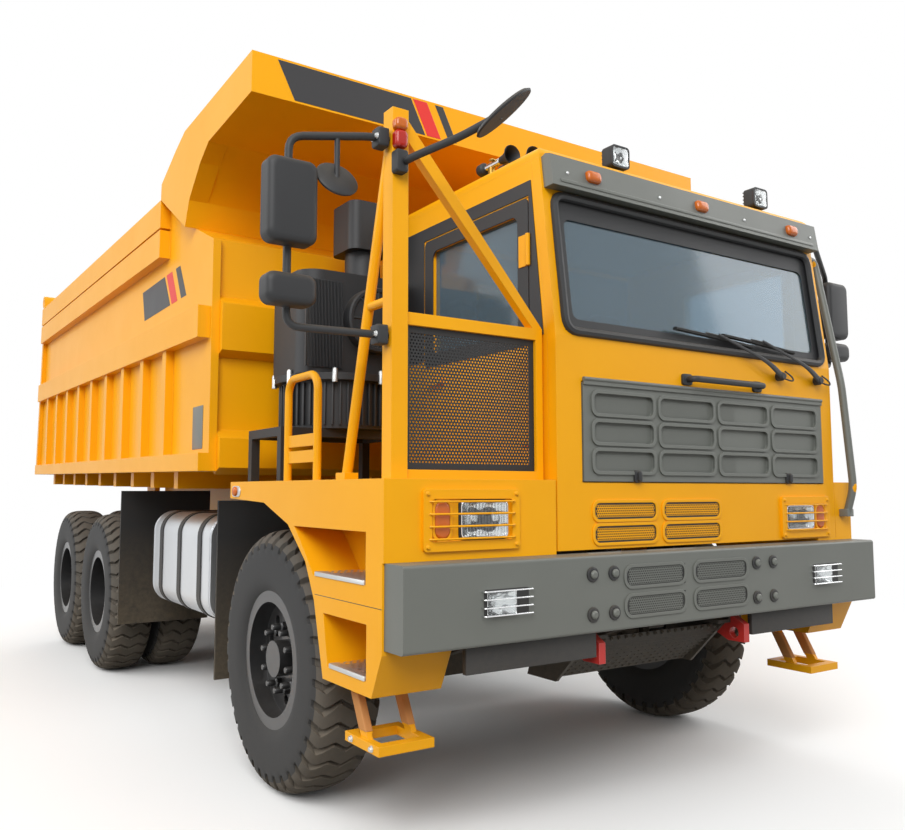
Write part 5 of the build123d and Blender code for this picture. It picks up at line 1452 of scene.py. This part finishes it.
@dataclass
class Tanks:
    """Straps, filler caps and end seams of the fuel and hydraulic tanks."""

    datum: Datum
    tank_x: Span = (0.62, 1.5)
    tank_z: Span = (0.72, 1.42)
    strap_width: float = 0.074
    strap_shares: tuple[float, ...] = (1 / 6, 3 / 6, 5 / 6)

    def build(self) -> None:
        """Make every piece."""
        low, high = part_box("tanks")
        front, rear = low[1], high[1]
        (inner, outer), (bottom, top) = self.tank_x, self.tank_z
        x, z = (inner + outer) / 2, (bottom + top) / 2

        def around(proud: float, corner: float) -> Array:
            """The tank's outline, proud of it by a distance on each side."""
            return rounded(outer - inner + 2 * proud, top - bottom + 2 * proud, corner, 10)

        inside = around(-0.001, 0.15)
        straps = [(x, front + (rear - front) * share + self.strap_width / 2, z)
                  for share in self.strap_shares]
        strap = frame_ring(around(0.007, 0.157), inside, self.strap_width)
        put(strap.repeated(places(straps, FORWARD, UP)).mirrored(), "tank_straps", Surface.PLASTIC)
        cap = turned([(0.062, 0.0), (0.062, 0.03), (0.07, 0.032), (0.07, 0.058), (0.06, 0.066),
                      (0.01, 0.068)], 28)
        put(cap.moved(place((outer - 0.26, front + 0.18, top))).mirrored(), "tank_caps", Surface.PLASTIC)
        seam = frame_ring(around(0.004, 0.154), inside, 0.008)
        ends = places([(x, front + 0.03, z), (x, rear - 0.02, z)], FORWARD, UP)
        put(seam.repeated(ends).mirrored(), "tank_seams", Surface.ALUMINIUM)


@dataclass
class Steps:
    """Step treads, webbing, bolts and tower seams at both sides."""

    datum: Datum
    # Each pocket's front, rear and floor
    pockets: tuple[Point, ...] = ((0.30, 0.78, 1.19), (0.29, 0.62, 0.80))
    tread_x: Span = (1.39, 1.64)
    strap_x: Span = (1.36, 1.57)
    strap_ends: tuple[Span, Span] = ((0.4065, 0.57), (0.4835, 0.71))
    bolt_x: float = 1.60
    bolt_z: float = 0.52
    bolt_stations: Span = (0.3, 0.48)
    seam_low: Point = (1.6395, 0.151, 1.1035)
    seam_high: Point = (1.6404, 0.782, 1.1065)

    def build(self) -> None:
        """Make every piece."""
        self.treads()
        self.straps()
        self.bolts()

    def treads(self) -> None:
        """Lay a perforated zinc tread with a folded nose on each pocket's floor."""
        at, shapes = self.datum.at, []
        for front, rear, floor in self.pockets:
            middle = at(sum(self.tread_x) / 2, (front + rear) / 2, floor + 0.018)
            shapes += [perforated(0.235, rear - front, 0.034, 0.012, 12).moved(place(middle)),
                       box_shape(at(1.60, front, floor), at(1.645, rear, floor + 0.02), 0.004),
                       box_shape(at(1.395, front, floor), at(1.605, rear, floor + 0.006), 0.002)]
        put(joined(*shapes).mirrored(), "step_treads", Surface.ZINC)

    def straps(self) -> None:
        """Wrap tan webbing round each step's leaning straps, between their ends."""
        outline = rounded(0.036, 0.066, 0.006)
        ring = np.column_stack((outline, np.zeros(len(outline))))
        shapes = [lattice(np.stack([ring + self.datum.at(x, *end) for end in self.strap_ends]))
                  for x in self.strap_x]
        put(joined(*shapes).mirrored(), "step_webbing", Surface.TAN)

    def bolts(self) -> None:
        """Bolt each hanging step's side, and draw each tower's seam."""
        spots = self.datum.line([(self.bolt_x, station, self.bolt_z) for station in self.bolt_stations])
        put(hex_bolt(0.02).repeated(places(spots, (1, 0, 0), UP)).mirrored(), "step_bolts", Surface.ZINC)
        seam = box_shape(self.datum.at(*self.seam_low), self.datum.at(*self.seam_high), 0.0002)
        put(seam.mirrored(), "tower_seams", Surface.PLASTIC)


@dataclass
class SideTrim:
    """Black window surrounds and lining on the doors, and the trim ahead of, over and behind each door."""

    datum: Datum
    cab_left: float = 1.475
    cab_right: float = -0.715
    door_thickness: float = 0.056
    # Corners of the trim round a door as stations and heights
    trim: tuple[Span, ...] = ((0.225, 2.33), (0.326, 2.33), (0.326, 3.046), (1.3, 3.046),
                              (1.3, 2.33), (1.74, 2.33), (1.74, 3.12), (0.312, 3.12))

    def build(self) -> None:
        """Make both sides' pieces."""
        lining = slab(rounded(0.6, 0.56, 0.03), 0.006, 0.003)
        for side, sign in SIDES:
            door, out = f"door_{side}", (sign, 0, 0)
            face = self.cab_left if sign > 0 else self.cab_right
            low, high = np.array(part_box(f"door_glass_{side}"))
            _, width, height = high - low
            _, y, z = (low + high) / 2
            surround = frame_ring(rounded(width + 0.156, height + 0.134, 0.03, 8),
                                  rounded(width - 0.01, height - 0.01, 0.05, 8), 0.006)
            put(surround.moved(place((face, y, z), out, UP)), f"door_window_seal_{side}", Surface.PLASTIC,
                door)
            corners = [(sign * (self.datum.front + station), rise) for station, rise in self.trim]
            trim = slab(np.array(corners), 0.005)
            put(trim.moved(place((face, 0, 0), out, UP)), f"door_edge_strip_{side}", Surface.PLASTIC)
            inside = self.datum.at(face - sign * self.door_thickness, 0.84, 2.0)
            put(lining.moved(place(inside, (-sign, 0, 0), UP)), f"door_lining_{side}", Surface.LINING, door)


@dataclass
class Interior:
    """Padded seats, dashboard, steering wheel and lining, which stand for the cab_interior node."""

    datum: Datum
    seats: tuple[float, ...] = (0.86, -0.1)
    dash_profile: tuple[Point, ...] = ((0, 0.21, 1.8), (0, 0.41, 1.81), (0, 0.49, 2.1),
                                       (0, 0.44, 2.25), (0, 0.3, 2.3), (0, 0.21, 2.3))
    dash_dip: float = 0.03
    dash_top: float = 2.2
    wheel_spot: Point = (0.86, 0.61, 2.3)
    wheel_radius: float = 0.22
    spoke_deg: tuple[float, ...] = (-90, 30, 150)
    column_ends: tuple[Point, Point] = ((0.86, 0.44, 2.15), (0.86, 0.6, 2.29))
    leaning: Point = (0, -1, 0.15)

    def build(self) -> None:
        """Make every piece."""
        dashboard = self.dashboard()
        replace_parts(dashboard, "cab_interior")
        self.lining()
        self.steering_wheel()
        for number, x in enumerate(self.seats, 1):
            self.seat(number, x)

    def dashboard(self) -> bpy.types.Object:
        """Carry the dashboard's rounded profile across the cab, lower at the middle of its top."""
        low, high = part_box("cab_interior")
        profile = bent(self.datum.line(self.dash_profile), 0.08)
        share = np.linspace(0, 1, 40)[:, None]
        grid = np.repeat(profile[None], len(share), 0)
        grid[..., 0] = low[0] + 0.005 + share * (high[0] - low[0] - 0.01)
        grid[..., 2] -= self.dash_dip * np.sin(share * np.pi) * (profile[:, 2] > self.dash_top)
        return put(lattice(grid), "dashboard", Surface.PLASTIC)

    def lining(self) -> None:
        """Line the roof's underside and the back wall round its window."""
        roof = box_shape(self.datum.at(-0.64, 0.32, 3.214), self.datum.at(1.4, 1.73, 3.2195), 0.002)
        around = frame_ring(rounded(2.04, 1.5, 0.03), rounded(0.8, 0.6, 0.03) + (0, 0.25), 0.006)
        wall = around.moved(place(self.datum.at(0.38, 1.7395, 2.43), FORWARD, UP))
        put(joined(roof, wall), "cab_lining", Surface.LINING)

    def steering_wheel(self) -> None:
        """A rim, three spokes and a hub, leaning back on the column."""
        facing = place(self.datum.at(*self.wheel_spot), (0, 0.74, 0.67), UP)
        rim = tube(np.column_stack((circle(48) * self.wheel_radius, np.zeros(48))), 0.016, 10, closed=True)
        hub = turned([(0.07, -0.03), (0.07, 0.0), (0.05, 0.012), (0.005, 0.014)], 24)
        angles = np.radians(self.spoke_deg)
        ways = np.column_stack((np.cos(angles), np.sin(angles), np.zeros(len(angles))))
        spokes = [tube(np.stack((0.05 * way + (0, 0, -0.01), 0.215 * way)), 0.018, 8, 0.4) for way in ways]
        put(joined(rim, hub, *spokes).moved(facing), "steering_wheel", Surface.PLASTIC)
        column = tube(np.array(self.datum.line(self.column_ends)), 0.035, 16)
        put(column, "steering_column", Surface.PLASTIC)

    def pad(self, width: float, depth: float, thick: float, crown: float) -> Shape:
        """A crowned cushion: a superellipse outline, its half-thickness swelling by cosines to its middle.

        Args:
            width: reach along X.
            depth: reach along Y.
            thick: thickness at the edge's welt.
            crown: how far each face rises at the middle.

        Returns:
            The cushion about its own centre.
        """
        turn = np.linspace(-np.pi / 2, np.pi / 2, 15)
        ring = circle(72)
        outline = np.sign(ring) * np.abs(ring) ** 0.4
        pull = 1 - 0.03 * (2 * ring[:, 0] * ring[:, 1]) ** 2
        rows = np.linspace(0.06, 0.9, 7)
        shares = np.concatenate((rows, 0.9 + 0.1 * np.cos(turn), rows[::-1]))
        flats = np.ones(len(rows))
        swell = np.concatenate((-flats, np.sin(turn), flats))
        flat = outline[None] * pull[None, :, None] * shares[:, None, None] * (width / 2, depth / 2)
        rise = np.cos(flat[..., 0] / width * np.pi) * np.cos(flat[..., 1] / depth * np.pi)
        channel = 0.008 * np.exp(-((np.abs(flat[..., 0]) - 0.27 * width) / 0.012) ** 2)
        height = swell[:, None] * (thick / 2 + crown * rise - channel)
        return lattice(np.concatenate((flat, height[..., None]), -1))

    def seat(self, number: int, x: float) -> None:
        """Stand a seat on its pedestal: cushion, back rest and head rest.

        Args:
            number: which seat, for its pieces' names.
            x: the seat's middle.
        """
        at = self.datum.at
        cushion = self.pad(0.46, 0.44, 0.09, 0.03).moved(place(at(x, 1.13, 2.0), (0, -0.06, 1), (0, 1, 0)))
        back = self.pad(0.45, 0.56, 0.075, 0.022).moved(place(at(x, 1.378, 2.37), self.leaning, UP))
        head = self.pad(0.27, 0.16, 0.065, 0.015).moved(place(at(x, 1.435, 2.72), self.leaning, UP))
        for name, shape in (("cushion", cushion), ("back", back), ("head", head)):
            piece = put(shape, f"seat_{number}_{name}", Surface.CLOTH, crease_deg=60)
        base = joined(box_shape(at(x - 0.2, 0.93, 1.63), at(x + 0.2, 1.36, 1.7), 0.02),
                      box_shape(at(x - 0.15, 0.98, 1.7), at(x + 0.15, 1.3, 1.93), 0.03))
        put(base, f"seat_{number}_pedestal", Surface.PLASTIC)


def dress_frame(frame: dict) -> None:
    """Give every CAD node the finish of its record slot.
    """
    for part in frame["record"]["subparts"]:
        node = frame["nodes"][part["node"]]
        surface = Surface.RIM if "_rim" in part["node"] else SLOT_FINISH[part["material_slot"]]
        node.data.materials.clear()
        node.data.materials.append(surface.material)


def main() -> None:
    """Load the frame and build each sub-assembly."""
    logging.basicConfig(level=logging.INFO, format="%(message)s")
    bpy.ops.wm.read_factory_settings(use_empty=True)
    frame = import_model()
    Stage().build()
    dress_frame(frame)
    datum = Datum.read()
    Wheels().build()
    for assembly in (CabFront, FrontEnd, Lamps, Deck, Bed, Tanks, Steps, SideTrim, Interior):
        assembly(datum).build()


if __name__ == "__main__":
    main()
